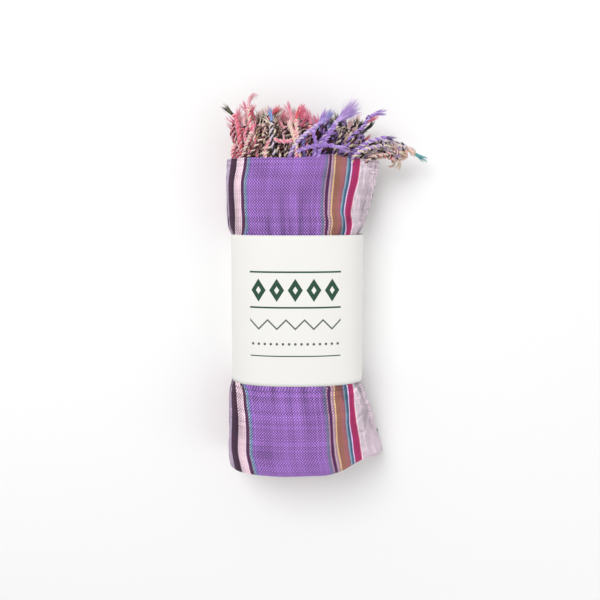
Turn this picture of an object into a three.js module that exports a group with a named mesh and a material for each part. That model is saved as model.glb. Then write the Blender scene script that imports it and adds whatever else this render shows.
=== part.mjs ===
// A kikoi: one striped cotton cloth with a knotted fringe, folded in length and rolled up, in a paper band.
// Millimetres, seen from above: +X is to the right, +Y is towards the fringe and +Z is up.
// The origin is under the middle of the roll, on the surface that it lies on.
import * as THREE from 'three';
import { mergeVertices } from 'three/addons/utils/BufferGeometryUtils.js';

// The roll: an oval with a flatter underside, its section shaped by the two powers
const gap = 0.3;
const roll = {
  bottomEnd: -111.5, topEnd: 111, halfWidth: 49.3, height: 58.8, axisHeight: 27, sunkDepth: 2,
  topPower: 2.6, bottomPower: 3, endRound: 10, endTuck: 1, turnPitch: 4.8, angleSteps: 36,
};

// The paper band: a strip round the roll, lapped on the underside and standing off the right-hand side
const band = {
  bottomEdge: -46.25, topEdge: 58.75, wall: 0.6, rightBulge: 2.6, bulgeAngle: 70,
  squeezeWidth: 4.1, squeezeHeight: 2.2, squeezeEase: 6,
  lapDepth: 0.9, innerLapAngle: -99, outerLapAngle: -86, lapRamp: 12, angleSteps: 40,
};

// The leaves: the outermost one goes all the way round, three more show below it at the free selvage
const leaf = {
  wall: 1.4, underWall: 1, underCount: 3, wrapSteps: 30, flapSteps: 6,
  tailStartAngle: 270, tailSunkAngle: 330, tailEndAngle: 350,
};
const stack = leaf.wall + gap + leaf.underCount * (leaf.underWall + gap);
const underEnds = { top: 104, bottomStep: 0.5, selvageStep: 1.4 };

// The flap: the stretch with the free selvage, held close by the band and spread out at both ends
const flap = {
  startAngle: 50, freeAngle: -4, heldAngle: -24, heldEase: 9, bend: 1.6,
  ends: {
    top: { reach: 13, drop: 7, reachPower: 1.1, dropPower: 1.3 },
    bottom: { reach: 19.5, drop: 16, reachPower: 1.1, dropPower: 1.2 },
  },
};

// The lower end is drawn back beside its right-hand corner, which stays pointed
const cornerNotch = { depth: 5.6, middle: 49, spread: 13 };

// The outer leaf's upper end is a folded edge that rises a little near the right shoulder
const topEdgeRise = { height: 2.4, angle: 66, spread: 13 };
const tailSetback = { fromAngle: 285, overAngle: 30 };

// Places along the roll where the cloth has a section, counted outwards from the band's edges
const stationSteps = [0, 1.5, 6, 16, 34];
const middleStation = 6;

// The core: the hidden turns as one solid, with the folded layers as ridges that wind inwards at both ends
const core = {
  topEnd: 104, bottomEnd: -110.6, ridge: 1.5, ridgeSteps: 4, innerDepth: 25, endRound: 1, flapClearance: 0.4,
  tailEase: 20,
};
const spiral = { startAngle: -10, startDepth: 3.5, startStep: 4 };

// The fringe: three rows of strands, each on a strip that follows one turn of the folded layers
const strip = { thickness: 1.8, halfDepth: 1.2, lengthSamples: 180 };
const strand = {
  half: 1.35, knotHalf: 1.85, tuftHalf: 1.85, tipHalf: 0.9, lead: 7, rootWidth: 3, lookAhead: 0.03,
};
const fringeRows = [
  { name: 'outer_row', turn: 0, fromAngle: -4, toAngle: 318, strands: 34, length: 35, colour: 0xa98f9c },
  { name: 'middle_row', turn: 2, fromAngle: -24, toAngle: 318, strands: 24, length: 34, colour: 0xb78d94 },
  { name: 'inner_row', turn: 4, fromAngle: -16, toAngle: 318, strands: 13, length: 32, colour: 0x8d7480 },
].map((row, number) => ({ ...row, number }));

// How a strand lies: its lean to the right grows with its place across the roll, and it sinks as it goes out
const lie = {
  lean: 3, leanPerWidth: 0.16, spillLean: 60, spillFrom: 15, spillWidth: 43,
  startShare: 0.45, leastTurn: 0.01, waveLean: 3, waveAcross: 0.1, waveUp: 0.17,
  lowestTip: 3.6, keptHeight: 0.8, lowestRoot: 6, sagPower: 1.6, lengthSpread: 0.18,
};

// The rings of a strand along its free length: the knot lies between the twisted part and the tuft
const strandRings = [
  { along: 0, half: strand.half },
  { along: 0.34, half: strand.half },
  { along: 0.62, half: strand.half },
  { along: 0.74, half: strand.knotHalf },
  { along: 0.88, half: strand.tuftHalf },
  { along: 1, half: strand.tipHalf },
];

// Strands that stand out of the rest, each by its place in the outer row and the points that it passes
const leadingStrands = [
  { place: 0, points: [[66, 114, 21], [79, 118, 23], [87, 115.5, 20], [96, 111, 16]] },
  { place: 2, points: [[61, 113.5, 34], [66, 113, 34], [73, 109.5, 29]] },
  { place: 5, points: [[42, 117, 49], [50, 121.5, 51], [61, 124.6, 46], [70.5, 124, 38]] },
  { place: 6, points: [[34, 116.5, 53], [37, 123.6, 55], [46, 131.5, 50], [52, 139.5, 45], [64, 143, 39]] },
  { place: 9, points: [[17, 121, 54.5], [28, 134, 56], [34, 139.5, 51], [43.5, 147.5, 46]] },
  { place: 10, points: [[6, 123.5, 56], [15.5, 132.6, 55], [21.5, 138, 52], [26.5, 143, 48]] },
  { place: 11, points: [[2, 115, 58], [9, 117.3, 60.5], [18, 118.5, 61], [28.5, 117.5, 60], [38, 115, 57]] },
  { place: 15, points: [[-28, 126, 50], [-31, 138, 46], [-32, 148, 43], [-29, 153.5, 43], [-25, 151, 43]] },
  { place: 17, points: [[-38, 124.5, 46], [-40, 137.5, 43], [-44, 142, 41], [-50.5, 148, 36]] },
];

const cloth = { roughness: 0.85, metalness: 0 };

function radians(angle) {
  return (angle * Math.PI) / 180;
}

function signedPower(value, power) {
  return Math.sign(value) * Math.abs(value) ** power;
}

// From 0 to 1 with a soft start and end
function smoothShare(share) {
  const kept = Math.min(1, Math.max(0, share));
  return kept * kept * (3 - 2 * kept);
}

// A fraction from 0 to 1 that is the same each time for the same number
function scatter(number) {
  const wave = Math.sin(number * 12.9898 + 4.1414) * 43758.5453;
  return wave - Math.floor(wave);
}

// How far a place along the roll lies outside the band
function outsideBand(y) {
  return Math.max(band.bottomEdge - y, y - band.topEdge, 0);
}

// Half width, top and underside of the roll at a place along it: narrower in the band, tucked in at the ends
function girthAt(y) {
  const outside = outsideBand(y);
  const squeeze = Math.exp(-outside / band.squeezeEase);
  const fromEnd = Math.min(y - roll.bottomEnd, roll.topEnd - y);
  const tuck = Math.max(0, 1 - fromEnd / roll.endRound) ** 2 * roll.endTuck;
  return {
    halfWidth: roll.halfWidth - band.squeezeWidth * squeeze - tuck,
    top: roll.height - band.squeezeHeight * squeeze - tuck,
    base: (band.wall + band.lapDepth + gap) * Math.max(0, 1 - outside / band.squeezeEase) ** 2,
  };
}

// A point of the roll's surface, sunk by a depth, at an angle that is 0 on the right and 90 on top
function rollPoint(angle, y, depth, baseDepth = depth) {
  const girth = girthAt(y);
  const cosine = Math.cos(radians(angle));
  const sine = Math.sin(radians(angle));
  const power = 2 / (sine >= 0 ? roll.topPower : roll.bottomPower);
  const rise = sine >= 0 ? girth.top - roll.axisHeight : roll.axisHeight + roll.sunkDepth;
  const height = roll.axisHeight + (rise - depth) * signedPower(sine, power);
  const x = (girth.halfWidth - depth) * signedPower(cosine, power);
  return new THREE.Vector3(x, y, Math.max(height, girth.base + baseDepth));
}

// How far the flap is spread out to the right and lowered at a place along the roll
function spreadAt(y) {
  const end = y > 0 ? flap.ends.top : flap.ends.bottom;
  const length = y > 0 ? roll.topEnd - band.topEdge : band.bottomEdge - roll.bottomEnd;
  const share = outsideBand(y) / length;
  return { reach: end.reach * share ** end.reachPower, drop: end.drop * share ** end.dropPower };
}

// A point of a leaf: the roll's surface, with the flap's spread added below its start
function leafPoint(angle, y, depth, baseDepth) {
  const point = rollPoint(angle, y, depth, baseDepth);
  const share = Math.max(0, (flap.startAngle - angle) / (flap.startAngle - flap.freeAngle)) ** flap.bend;
  const spread = spreadAt(y);
  point.x += spread.reach * share;
  point.z -= spread.drop * share;
  return point;
}

// The angle of the free selvage: lower on the side where the band holds it
function selvageAngle(y) {
  const held = Math.exp(-outsideBand(y) / flap.heldEase);
  return flap.freeAngle + (flap.heldAngle - flap.freeAngle) * held;
}

// The outer leaf's end winds inwards under the flap
function tailDepth(angle) {
  const share = (angle - leaf.tailStartAngle) / (leaf.tailSunkAngle - leaf.tailStartAngle);
  return (stack + 2 * gap) * smoothShare(share);
}

// How far the lower end is drawn back at a place across the roll
function notchAt(x) {
  return cornerNotch.depth * Math.exp(-(((x - cornerNotch.middle) / cornerNotch.spread) ** 2));
}

// Sections along the roll between two ends
function stationsBetween(bottomEnd, topEnd) {
  const below = stationSteps.map((step) => band.bottomEdge - step).reverse();
  const above = stationSteps.map((step) => band.topEdge + step);
  const bottomTuck = roll.bottomEnd + roll.endRound;
  const topTuck = roll.topEnd - roll.endRound;
  return [bottomEnd, bottomTuck, ...below, middleStation, ...above, topTuck, topEnd];
}

// A named mesh of one closed solid, its faces turned to point out
function solidMesh(name, points, triangles, colour, finish = cloth) {
  const loose = new THREE.BufferGeometry().setFromPoints(points);
  loose.setIndex(triangles.flat());
  const geometry = mergeVertices(loose, 1e-3);
  const position = geometry.getAttribute('position');
  const corner = (index) => new THREE.Vector3().fromBufferAttribute(position, index);
  const kept = [];
  let volume = 0;
  for (let start = 0; start < geometry.index.count; start += 3) {
    const [a, b, c] = [0, 1, 2].map((offset) => geometry.index.getX(start + offset));
    if (a === b || b === c || c === a) continue;
    kept.push([a, b, c]);
    volume += corner(a).dot(corner(b).cross(corner(c)));
  }
  if (volume < 0) kept.forEach((triangle) => triangle.reverse());
  geometry.setIndex(kept.flat());
  geometry.computeVertexNormals();
  const mesh = new THREE.Mesh(geometry, new THREE.MeshStandardMaterial({ color: colour, ...finish }));
  mesh.name = name;
  return mesh;
}

function quad(triangles, a, b, c, d) {
  triangles.push([a, b, c], [a, c, d]);
}

// A solid through a row of loops with equal counts of points, closed at its first and last loop
function loftLoops(name, loops, colour, finish) {
  const count = loops[0].length;
  const triangles = [];
  for (let row = 0; row < loops.length - 1; row += 1) {
    for (let step = 0; step < count; step += 1) {
      const next = (step + 1) % count;
      const [here, there] = [row * count, (row + 1) * count];
      const corners = [here + step, here + next, there + next, there + step];
      // The inner half of a wall's loop runs back, so its quads are cut the other way
      if (step >= count / 2) corners.push(corners.shift());
      quad(triangles, ...corners);
    }
  }
  const last = (loops.length - 1) * count;
  for (let step = 1; step < count / 2; step += 1) {
    quad(triangles, step, step - 1, count - step, (count - step - 1) % count);
    quad(triangles, last + step - 1, last + step, last + count - step - 1, last + ((count - step) % count));
  }
  return solidMesh(name, loops.flat(), triangles, colour, finish);
}

// One closed loop round a leaf's wall: along its outer face, round the fold and back along its inner face
function wallLoop(angleAt, ends, wall, depthAt, baseDepth) {
  const stations = stationsBetween(ends.bottom + wall / 2, ends.top - wall / 2);
  const at = (y, inward) => {
    const angle = angleAt(y);
    return leafPoint(angle, y, depthAt(angle) + inward, baseDepth + inward);
  };
  return [
    at(ends.bottom, wall / 2),
    ...stations.map((y) => at(y, 0)),
    at(ends.top, wall / 2),
    ...stations.reverse().map((y) => at(y, wall)),
  ];
}

// The columns of a flap, from its free selvage, which may lie a little higher or lower, to its start
function flapAngles(selvageShift) {
  return Array.from({ length: leaf.flapSteps + 1 }, (_, step) => (y) => {
    const free = selvageAngle(y);
    const shift = step === 0 ? selvageShift : 0;
    return free + shift + (flap.startAngle - free) * (step / leaf.flapSteps);
  });
}

function makeOuterLeaf() {
  const wrap = Array.from({ length: leaf.wrapSteps }, (_, step) => {
    const angle = flap.startAngle + (leaf.tailEndAngle - flap.startAngle) * ((step + 1) / leaf.wrapSteps);
    return () => angle;
  });
  const loops = [...flapAngles(0), ...wrap].map((angleAt) => {
    const rise = Math.exp(-(((angleAt(roll.topEnd) - topEdgeRise.angle) / topEdgeRise.spread) ** 2));
    const tail = smoothShare((angleAt(0) - tailSetback.fromAngle) / tailSetback.overAngle);
    const top = roll.topEnd + topEdgeRise.height * rise - (roll.topEnd - underEnds.top) * tail;
    const lowerEnd = leafPoint(angleAt(roll.bottomEnd), roll.bottomEnd, 0);
    const ends = { bottom: roll.bottomEnd + notchAt(lowerEnd.x), top };
    return wallLoop(angleAt, ends, leaf.wall, tailDepth, 0);
  });
  return loftLoops('outer_leaf', loops, 0x9672b6);
}

function makeUnderLeaf(number) {
  const depth = leaf.wall + gap + number * (leaf.underWall + gap);
  const bottom = roll.bottomEnd + underEnds.bottomStep * (number + 1);
  const shift = underEnds.selvageStep * (number === 1 ? 1 : -0.5);
  const depthAt = () => depth;
  const loops = flapAngles(shift).map((angleAt) => {
    const lowerEnd = leafPoint(angleAt(bottom), bottom, depth);
    const ends = { bottom: bottom + notchAt(lowerEnd.x), top: underEnds.top };
    return wallLoop(angleAt, ends, leaf.underWall, depthAt, depth);
  });
  return loftLoops(`under_leaf_${number + 1}`, loops, [0xc3b2be, 0xa89bb0, 0xbba9b6][number]);
}

// How deep the core's side lies: under the outer leaf, under its inner end, or under the flap's stack
function coreDepth(angle) {
  const turned = (angle + 360) % 360;
  if (turned > leaf.tailStartAngle) return leaf.wall + gap + tailDepth(turned);
  if (turned > flap.startAngle + 1) return leaf.wall + gap;
  const tail = (leaf.wall + gap) * Math.max(0, 1 - turned / core.tailEase);
  return stack + gap + core.flapClearance + tail;
}

// The depth of the ridge that the folded layers make, one pitch deeper after each turn
function ridgeDepth(angle, turn = 0) {
  return spiral.startDepth + roll.turnPitch * (turn + (angle - spiral.startAngle) / 360);
}

// The core's end faces: height over the end at a depth, highest on the ridge
function ridgeHeight(angle, depth) {
  const phase = (depth - ridgeDepth(angle)) / roll.turnPitch;
  return core.ridge * Math.abs(Math.cos(Math.PI * phase));
}

function makeRollCore() {
  const steps = roll.angleSteps;
  const angles = Array.from({ length: steps }, (_, step) => spiral.startAngle + (360 * step) / steps);
  const ringDepth = core.innerDepth - spiral.startDepth;
  const ringCount = Math.ceil((ringDepth / roll.turnPitch) * core.ridgeSteps) + spiral.startStep + 1;
  const ends = [
    { y: core.bottomEnd, out: -1 },
    { y: core.topEnd, out: 1 },
  ];
  const points = [];
  const triangles = [];
  const endRims = ends.map((end) => {
    // Points on the end face: each column starts at the core's edge and follows the winding ridge inwards
    const columns = angles.map((angle) => {
      const edge = coreDepth(angle);
      return Array.from({ length: ringCount }, (_, ring) => {
        const wound = ridgeDepth(angle) + ((ring - spiral.startStep) * roll.turnPitch) / core.ridgeSteps;
        const depth = Math.min(core.innerDepth, Math.max(edge, wound));
        const rounding = depth === edge ? core.endRound : 0;
        const point = rollPoint(angle, end.y, depth);
        const notch = end.out < 0 ? notchAt(point.x) : 0;
        const y = end.y + notch + end.out * (ridgeHeight(angle, depth) - core.ridge - rounding);
        return points.push(point.setY(y)) - 1;
      });
    });
    const at = (column, ring) => {
      const turned = column === steps ? ring + core.ridgeSteps : ring;
      return columns[column % steps][Math.min(turned, ringCount - 1)];
    };
    const [above, below] = [90, 270].map((angle) => rollPoint(angle, end.y, core.innerDepth));
    const middle = points.push(above.lerp(below, 0.5)) - 1;
    for (let column = 0; column < steps; column += 1) {
      for (let ring = 0; ring < ringCount - 1; ring += 1) {
        const [here, there] = [column, column + 1];
        const corners = [at(here, ring), at(there, ring), at(there, ring + 1), at(here, ring + 1)];
        if (end.out < 0) corners.reverse();
        quad(triangles, ...corners);
      }
      const inner = [at(column, ringCount - 1), at(column + 1, ringCount - 1), middle];
      triangles.push(end.out < 0 ? inner.reverse() : inner);
    }
    return columns.map((column) => column[0]);
  });
  // The side between the two rims
  const stations = stationsBetween(core.bottomEnd, core.topEnd).slice(1, -1);
  const rings = stations.map((y) =>
    angles.map((angle) => points.push(rollPoint(angle, y, coreDepth(angle), leaf.wall + gap)) - 1),
  );
  const bands = [endRims[0], ...rings, endRims[1]];
  for (let row = 0; row < bands.length - 1; row += 1) {
    for (let step = 0; step < steps; step += 1) {
      const next = (step + 1) % steps;
      quad(triangles, bands[row][step], bands[row][next], bands[row + 1][next], bands[row + 1][step]);
    }
  }
  return solidMesh('roll_core', points, triangles, 0x8f7a9e);
}

// How far the band stands off the cloth on the right-hand side
function bulgeAt(angle) {
  const share = Math.min(1, Math.abs(angle > 180 ? angle - 360 : angle) / band.bulgeAngle);
  return band.rightBulge * Math.cos((share * Math.PI) / 2) ** 2;
}

// One strip wound once round the roll: its inner end is lifted so that the outer end laps under it
function makePaperBand() {
  const turn = 360 + band.outerLapAngle - band.innerLapAngle;
  const loops = Array.from({ length: band.angleSteps + 1 }, (_, step) => {
    const angle = band.innerLapAngle + (turn * step) / band.angleSteps;
    const ramp = Math.min(1, Math.max(0, (angle - band.outerLapAngle) / band.lapRamp));
    const lift = band.lapDepth * (1 - ramp);
    const at = (y, inward) => {
      const depth = lift + inward - gap - band.wall - bulgeAt(angle);
      return rollPoint(angle, y, depth, lift + inward - girthAt(y).base);
    };
    const edges = [band.bottomEdge, band.topEdge];
    return [...edges.map((y) => at(y, 0)), ...edges.reverse().map((y) => at(y, band.wall))];
  });
  return loftLoops('paper_band', loops, 0xf7f7f4, { roughness: 0.6, metalness: 0 });
}

// The lean of a strand to the right, by its place across the roll and its height
function leanAt(x, z) {
  const spill = Math.max(0, (x - lie.spillFrom) / lie.spillWidth) ** 2;
  const wave = lie.waveLean * Math.sin(lie.waveAcross * x + lie.waveUp * z);
  return radians(lie.lean + lie.leanPerWidth * x + lie.spillLean * spill + wave);
}

// The free part of a strand as a curve: it turns with its lean and sinks towards the surface
function freeCurve(start, length) {
  const lean = leanAt(start.x, start.z);
  const turn = Math.abs(lean) < lie.leastTurn ? lie.leastTurn : lean;
  const first = turn * lie.startShare;
  const kept = lie.keptHeight * (start.z - lie.lowestRoot);
  const tip = lie.lowestTip + Math.max(0, kept);
  return (along) =>
    new THREE.Vector3(
      start.x + (length * (Math.cos(first) - Math.cos(first + turn * along))) / turn,
      start.y + (length * (Math.sin(first + turn * along) - Math.sin(first))) / turn,
      start.z - Math.max(0, start.z - tip) * along ** lie.sagPower,
    );
}

// Angles along a row's strip by length, so that the roots are evenly spaced
function angleByLength(row, pointAt) {
  const step = (row.toAngle - row.fromAngle) / strip.lengthSamples;
  const samples = Array.from({ length: strip.lengthSamples + 1 });
  const angles = samples.map((_, number) => row.fromAngle + step * number);
  const lengths = [0];
  angles.slice(1).forEach((angle, number) => {
    lengths.push(lengths[number] + pointAt(angle).distanceTo(pointAt(angles[number])));
  });
  const angleOf = (length) => {
    const number = Math.max(1, lengths.findIndex((reached) => reached >= length));
    const part = (length - lengths[number - 1]) / (lengths[number] - lengths[number - 1]);
    return angles[number - 1] + step * part;
  };
  return { total: lengths[strip.lengthSamples], angleOf };
}

// The curve of one strand, from where it has come clear of the cloth's end
function strandCurve(row, place, root, behind) {
  const start = root.clone().addScaledVector(root.clone().sub(behind).normalize(), strand.lead);
  const leading = row.turn === 0 && leadingStrands.find((one) => one.place === place);
  if (leading) {
    const passed = leading.points.map((point) => new THREE.Vector3(...point));
    const curve = new THREE.CatmullRomCurve3([start, ...passed]);
    return (share) => curve.getPoint(share);
  }
  const spread = 1 + lie.lengthSpread * (2 * scatter(place + 50 * row.number) - 1);
  return freeCurve(start, row.length * spread);
}

// A vector with its part along another one taken off
function without(vector, along) {
  return vector.clone().addScaledVector(along, -vector.dot(along)).normalize();
}

// Rings along a strand's curve, from the four corners of its root outwards
function growStrand(points, triangles, root, curve) {
  let across = points[root[3]].clone().sub(points[root[0]]);
  let inward = points[root[1]].clone().sub(points[root[0]]);
  let rim = root;
  strandRings.forEach(({ along, half }) => {
    const centre = curve(along);
    const ahead = curve(Math.min(1, along + strand.lookAhead));
    const direction = ahead.sub(curve(Math.max(0, along - strand.lookAhead))).normalize();
    across = without(across, direction);
    inward = without(without(inward, direction), across);
    const next = [[-1, -1], [-1, 1], [1, 1], [1, -1]].map(([side, level]) => {
      const beside = centre.clone().addScaledVector(across, side * half);
      return points.push(beside.addScaledVector(inward, level * half)) - 1;
    });
    next.forEach((corner, side) => {
      const other = (side + 1) % 4;
      quad(triangles, rim[side], rim[other], next[other], corner);
    });
    rim = next;
  });
  quad(triangles, ...rim);
}

// A row of strands on its strip, as one solid: each strand grows out of its own stretch of the strip's front
function makeFringeRow(row) {
  const points = [];
  const triangles = [];
  const backY = core.topEnd + gap;
  const frontY = backY + strip.thickness;
  const pointAt = row.turn === 0 ? leafPoint : rollPoint;
  const pointOn = (angle, y, inward) => pointAt(angle, y, ridgeDepth(angle, row.turn) + inward);
  const { total, angleOf } = angleByLength(row, (angle) => pointOn(angle, frontY, 0));
  const section = [[-1, backY], [-1, frontY], [1, frontY], [1, backY]];
  const cut = (length) =>
    section.map(([side, y]) => points.push(pointOn(angleOf(length), y, side * strip.halfDepth)) - 1);
  const middles = Array.from({ length: row.strands }, (_, place) => ((place + 0.5) / row.strands) * total);
  const cuts = middles.flatMap((middle) => [-0.5, 0.5].map((side) => cut(middle + side * strand.rootWidth)));
  cuts.slice(1).forEach((next, number) => {
    const here = cuts[number];
    const holdsStrand = number % 2 === 0;
    for (let side = 0; side < 4; side += 1) {
      const other = (side + 1) % 4;
      if (!holdsStrand || side !== 1) quad(triangles, here[side], here[other], next[other], next[side]);
    }
    if (!holdsStrand) return;
    const place = number / 2;
    const angle = angleOf(middles[place]);
    const curve = strandCurve(row, place, pointOn(angle, frontY, 0), pointOn(angle, backY, 0));
    growStrand(points, triangles, [here[1], here[2], next[2], next[1]], curve);
  });
  quad(triangles, ...[...cuts[0]].reverse());
  quad(triangles, ...cuts[cuts.length - 1]);
  return solidMesh(`fringe_${row.name}`, points, triangles, row.colour);
}

const kikoi = new THREE.Group();
kikoi.add(makeRollCore(), makeOuterLeaf());
for (let number = 0; number < leaf.underCount; number += 1) kikoi.add(makeUnderLeaf(number));
kikoi.add(makePaperBand());
fringeRows.forEach((row) => kikoi.add(makeFringeRow(row)));

export default kikoi;
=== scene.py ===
from math import atan2, cos, exp, floor, hypot, pi, radians, sin

import bmesh
import bpy
from mathutils import Matrix, Vector, noise


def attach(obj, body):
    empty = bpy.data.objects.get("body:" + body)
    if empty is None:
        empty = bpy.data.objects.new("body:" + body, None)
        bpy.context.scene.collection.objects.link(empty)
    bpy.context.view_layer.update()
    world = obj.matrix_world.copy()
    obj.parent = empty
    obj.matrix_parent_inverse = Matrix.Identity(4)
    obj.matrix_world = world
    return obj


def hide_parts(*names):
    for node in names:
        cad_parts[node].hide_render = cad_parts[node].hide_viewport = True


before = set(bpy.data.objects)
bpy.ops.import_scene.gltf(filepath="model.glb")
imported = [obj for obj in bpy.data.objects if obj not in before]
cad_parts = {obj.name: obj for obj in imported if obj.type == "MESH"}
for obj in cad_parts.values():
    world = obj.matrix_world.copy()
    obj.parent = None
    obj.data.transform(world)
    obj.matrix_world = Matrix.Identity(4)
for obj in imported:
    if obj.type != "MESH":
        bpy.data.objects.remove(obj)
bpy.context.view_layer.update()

# Everything is modelled in millimetres and scaled to metres when a piece is finished
toMetres = 0.001


# Shared helpers
def mixed(first, second, share):
    return first + (second - first) * share


def clamped(value):
    return min(1, max(0, value))


def smoothShare(share):
    kept = clamped(share)
    return kept * kept * (3 - 2 * kept)


def bell(away, spread):  # 1 in the middle, falling softly to nought
    return exp(-((away / spread) ** 2))


def signedPower(value, power):
    return abs(value) ** power * (1 if value >= 0 else -1)


def scatter(number):  # a fraction from 0 to 1, the same each run
    wave = sin(number * 12.9898 + 4.1414) * 43758.5453
    return wave - floor(wave)


def spreadOut(number, reach):  # the same, from -reach to reach
    return reach * (2 * scatter(number) - 1)


def between(table, place):  # straight steps through pairs of (place, value), flat past both ends
    for (lowPlace, low), (highPlace, high) in zip(table, table[1:]):
        if place <= highPlace:
            return mixed(low, high, max(0, (place - lowPlace) / max(highPlace - lowPlace, 1e-9)))
    return table[-1][1]


def runningLengths(points):  # the length along the points at each of them
    lengths = [0]
    for before, after in zip(points, points[1:]):
        lengths.append(lengths[-1] + (after - before).length)
    return lengths


def gridOfVerts(bm, columns, rows):  # a grid's vertices by their column and row
    bmesh.ops.create_grid(bm, x_segments=columns - 1, y_segments=rows - 1, size=0.5)
    grid = [[None] * rows for _ in range(columns)]
    for vert in bm.verts:
        grid[round((vert.co.x + 0.5) * (columns - 1))][round((vert.co.y + 0.5) * (rows - 1))] = vert
    return grid


def writePlaces(bm, name, places):  # each vertex's place on the flat piece, as a UV map in metres
    layer = bm.loops.layers.uv.new(name)
    for face in bm.faces:
        for loop in face.loops:
            loop[layer].uv = [value * toMetres for value in places[loop.vert]]


def spinAbout(bm, geom, angle, steps, rise=0, merge=False):  # about Z, climbing at each step
    bmesh.ops.spin(
        bm, geom=geom, cent=(0, 0, 0), axis=(0, 0, 1), dvec=(0, 0, rise), angle=angle, steps=steps,
        use_merge=merge, use_normal_flip=False, use_duplicate=False,
    )


def closeHoles(bm, sides=0):
    bmesh.ops.holes_fill(bm, edges=[edge for edge in bm.edges if edge.is_boundary], sides=sides)


def keepMesh(bm, name):
    mesh = bpy.data.meshes.new(name)
    bm.to_mesh(mesh)
    bm.free()
    return mesh


def addCopy(bm, mesh):  # the new vertices
    start = len(bm.verts)
    bm.from_mesh(mesh)
    bm.verts.ensure_lookup_table()
    return bm.verts[start:]


def placeObject(name, data):
    made = bpy.data.objects.new(name, data)
    bpy.context.scene.collection.objects.link(made)
    return made


def finishPiece(bm, name, material, slot, *nodes):
    bmesh.ops.scale(bm, vec=(toMetres,) * 3, verts=bm.verts)
    mesh = keepMesh(bm, name)
    mesh.polygons.foreach_set("use_smooth", [True] * len(mesh.polygons))
    mesh.materials.append(material)
    piece = placeObject(name, mesh)
    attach(piece, "root")
    if nodes:
        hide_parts(*nodes)
    return piece


def giveThickness(piece, thickness):  # in millimetres, inwards
    wall = piece.modifiers.new("thickness", "SOLIDIFY")
    wall.thickness = thickness * toMetres
    wall.offset = -1


# The roll's form in millimetres and degrees, where 0 is on the right and 90 on top
roll = {
    "bottomEnd": -111.5, "topEnd": 111, "halfWidth": 49.3, "height": 58.8,
    "axisHeight": 27, "sunkDepth": 2, "topPower": 2.6, "bottomPower": 3,
    "endRound": 10, "endTuck": 1, "turnPitch": 4.8,
}
band = {
    "bottomEdge": -46.25, "topEdge": 58.75, "gap": 0.3, "wall": 0.6, "paper": 0.25,
    "rightBulge": 2.6, "bulgeAngle": 70, "squeezeWidth": 4.1, "squeezeHeight": 2.2, "squeezeEase": 6,
    "lapDepth": 0.9, "innerLapAngle": -99, "outerLapAngle": -86, "lapRamp": 12,
}
flap = {
    "startAngle": 50, "freeAngle": -4, "heldAngle": -24, "heldEase": 9, "bend": 1.6,
    "topSpread": {"reach": 13, "drop": 7, "reachPower": 1.1, "dropPower": 1.3},
    "bottomSpread": {"reach": 19.5, "drop": 16, "reachPower": 1.1, "dropPower": 1.2},
}
tail = {"startAngle": 270, "sunkAngle": 330, "endAngle": 350, "depth": 6.2}
notch = {"depth": 6.6, "middle": 49, "spread": 16}  # the lower end is drawn back beside its right-hand corner


def outsideBand(y):
    return max(band["bottomEdge"] - y, y - band["topEdge"], 0)


def girthAt(y):
    outside = outsideBand(y)
    squeeze = exp(-outside / band["squeezeEase"])
    fromEnd = min(y - roll["bottomEnd"], roll["topEnd"] - y)
    tuck = max(0, 1 - fromEnd / roll["endRound"]) ** 2 * roll["endTuck"]
    halfWidth = roll["halfWidth"] - band["squeezeWidth"] * squeeze - tuck
    top = roll["height"] - band["squeezeHeight"] * squeeze - tuck
    lapRoom = band["wall"] + band["lapDepth"] + band["gap"]
    return halfWidth, top, lapRoom * max(0, 1 - outside / band["squeezeEase"]) ** 2


def rollPoint(angle, y, depth, baseDepth=None):
    halfWidth, top, base = girthAt(y)
    across, up = cos(radians(angle)), sin(radians(angle))
    power = 2 / (roll["topPower"] if up >= 0 else roll["bottomPower"])
    rise = top - roll["axisHeight"] if up >= 0 else roll["axisHeight"] + roll["sunkDepth"]
    height = roll["axisHeight"] + (rise - depth) * signedPower(up, power)
    lowest = base + (depth if baseDepth is None else baseDepth)
    return Vector(((halfWidth - depth) * signedPower(across, power), y, max(height, lowest)))


def leafPoint(angle, y, depth, baseDepth=None):
    point = rollPoint(angle, y, depth, baseDepth)
    share = max(0, (flap["startAngle"] - angle) / (flap["startAngle"] - flap["freeAngle"])) ** flap["bend"]
    spread = flap["topSpread"] if y > 0 else flap["bottomSpread"]
    length = roll["topEnd"] - band["topEdge"] if y > 0 else band["bottomEdge"] - roll["bottomEnd"]
    outside = outsideBand(y) / length
    point.x += spread["reach"] * outside ** spread["reachPower"] * share
    point.z -= spread["drop"] * outside ** spread["dropPower"] * share
    return point


def selvageAngle(y):
    held = exp(-outsideBand(y) / flap["heldEase"])
    return mixed(flap["freeAngle"], flap["heldAngle"], held)


def tailDepth(angle):
    turned = (angle - tail["startAngle"]) / (tail["sunkAngle"] - tail["startAngle"])
    return tail["depth"] * smoothShare(turned)


def notchAt(x):
    return notch["depth"] * bell(x - notch["middle"], notch["spread"])


# Node helpers
def paint(red, green, blue):  # a screen colour from 0 to 255 as Blender's own
    shares = [value / 255 for value in (red, green, blue)]
    return (*[share / 12.92 if share < 0.04045 else ((share + 0.055) / 1.055) ** 2.4 for share in shares], 1)


def feed(tree, socket, value):  # a link from another node's socket, or a plain value
    if isinstance(value, bpy.types.NodeSocket):
        tree.links.new(value, socket)
    else:
        socket.default_value = value


def addNode(tree, kind, settings=None, **inputs):  # an input is named without its spaces
    node = tree.nodes.new(kind)
    for name, value in (settings or {}).items():
        setattr(node, name, value)
    for socket in node.inputs:
        value = inputs.get(socket.name.replace(" ", ""))
        if value is not None and socket.enabled:
            feed(tree, socket, value)
    return node


def maths(tree, operation, *values):
    node = tree.nodes.new("ShaderNodeMath")
    node.operation = operation
    for socket, value in zip(node.inputs, values):
        feed(tree, socket, value)
    return node.outputs[0]


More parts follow.
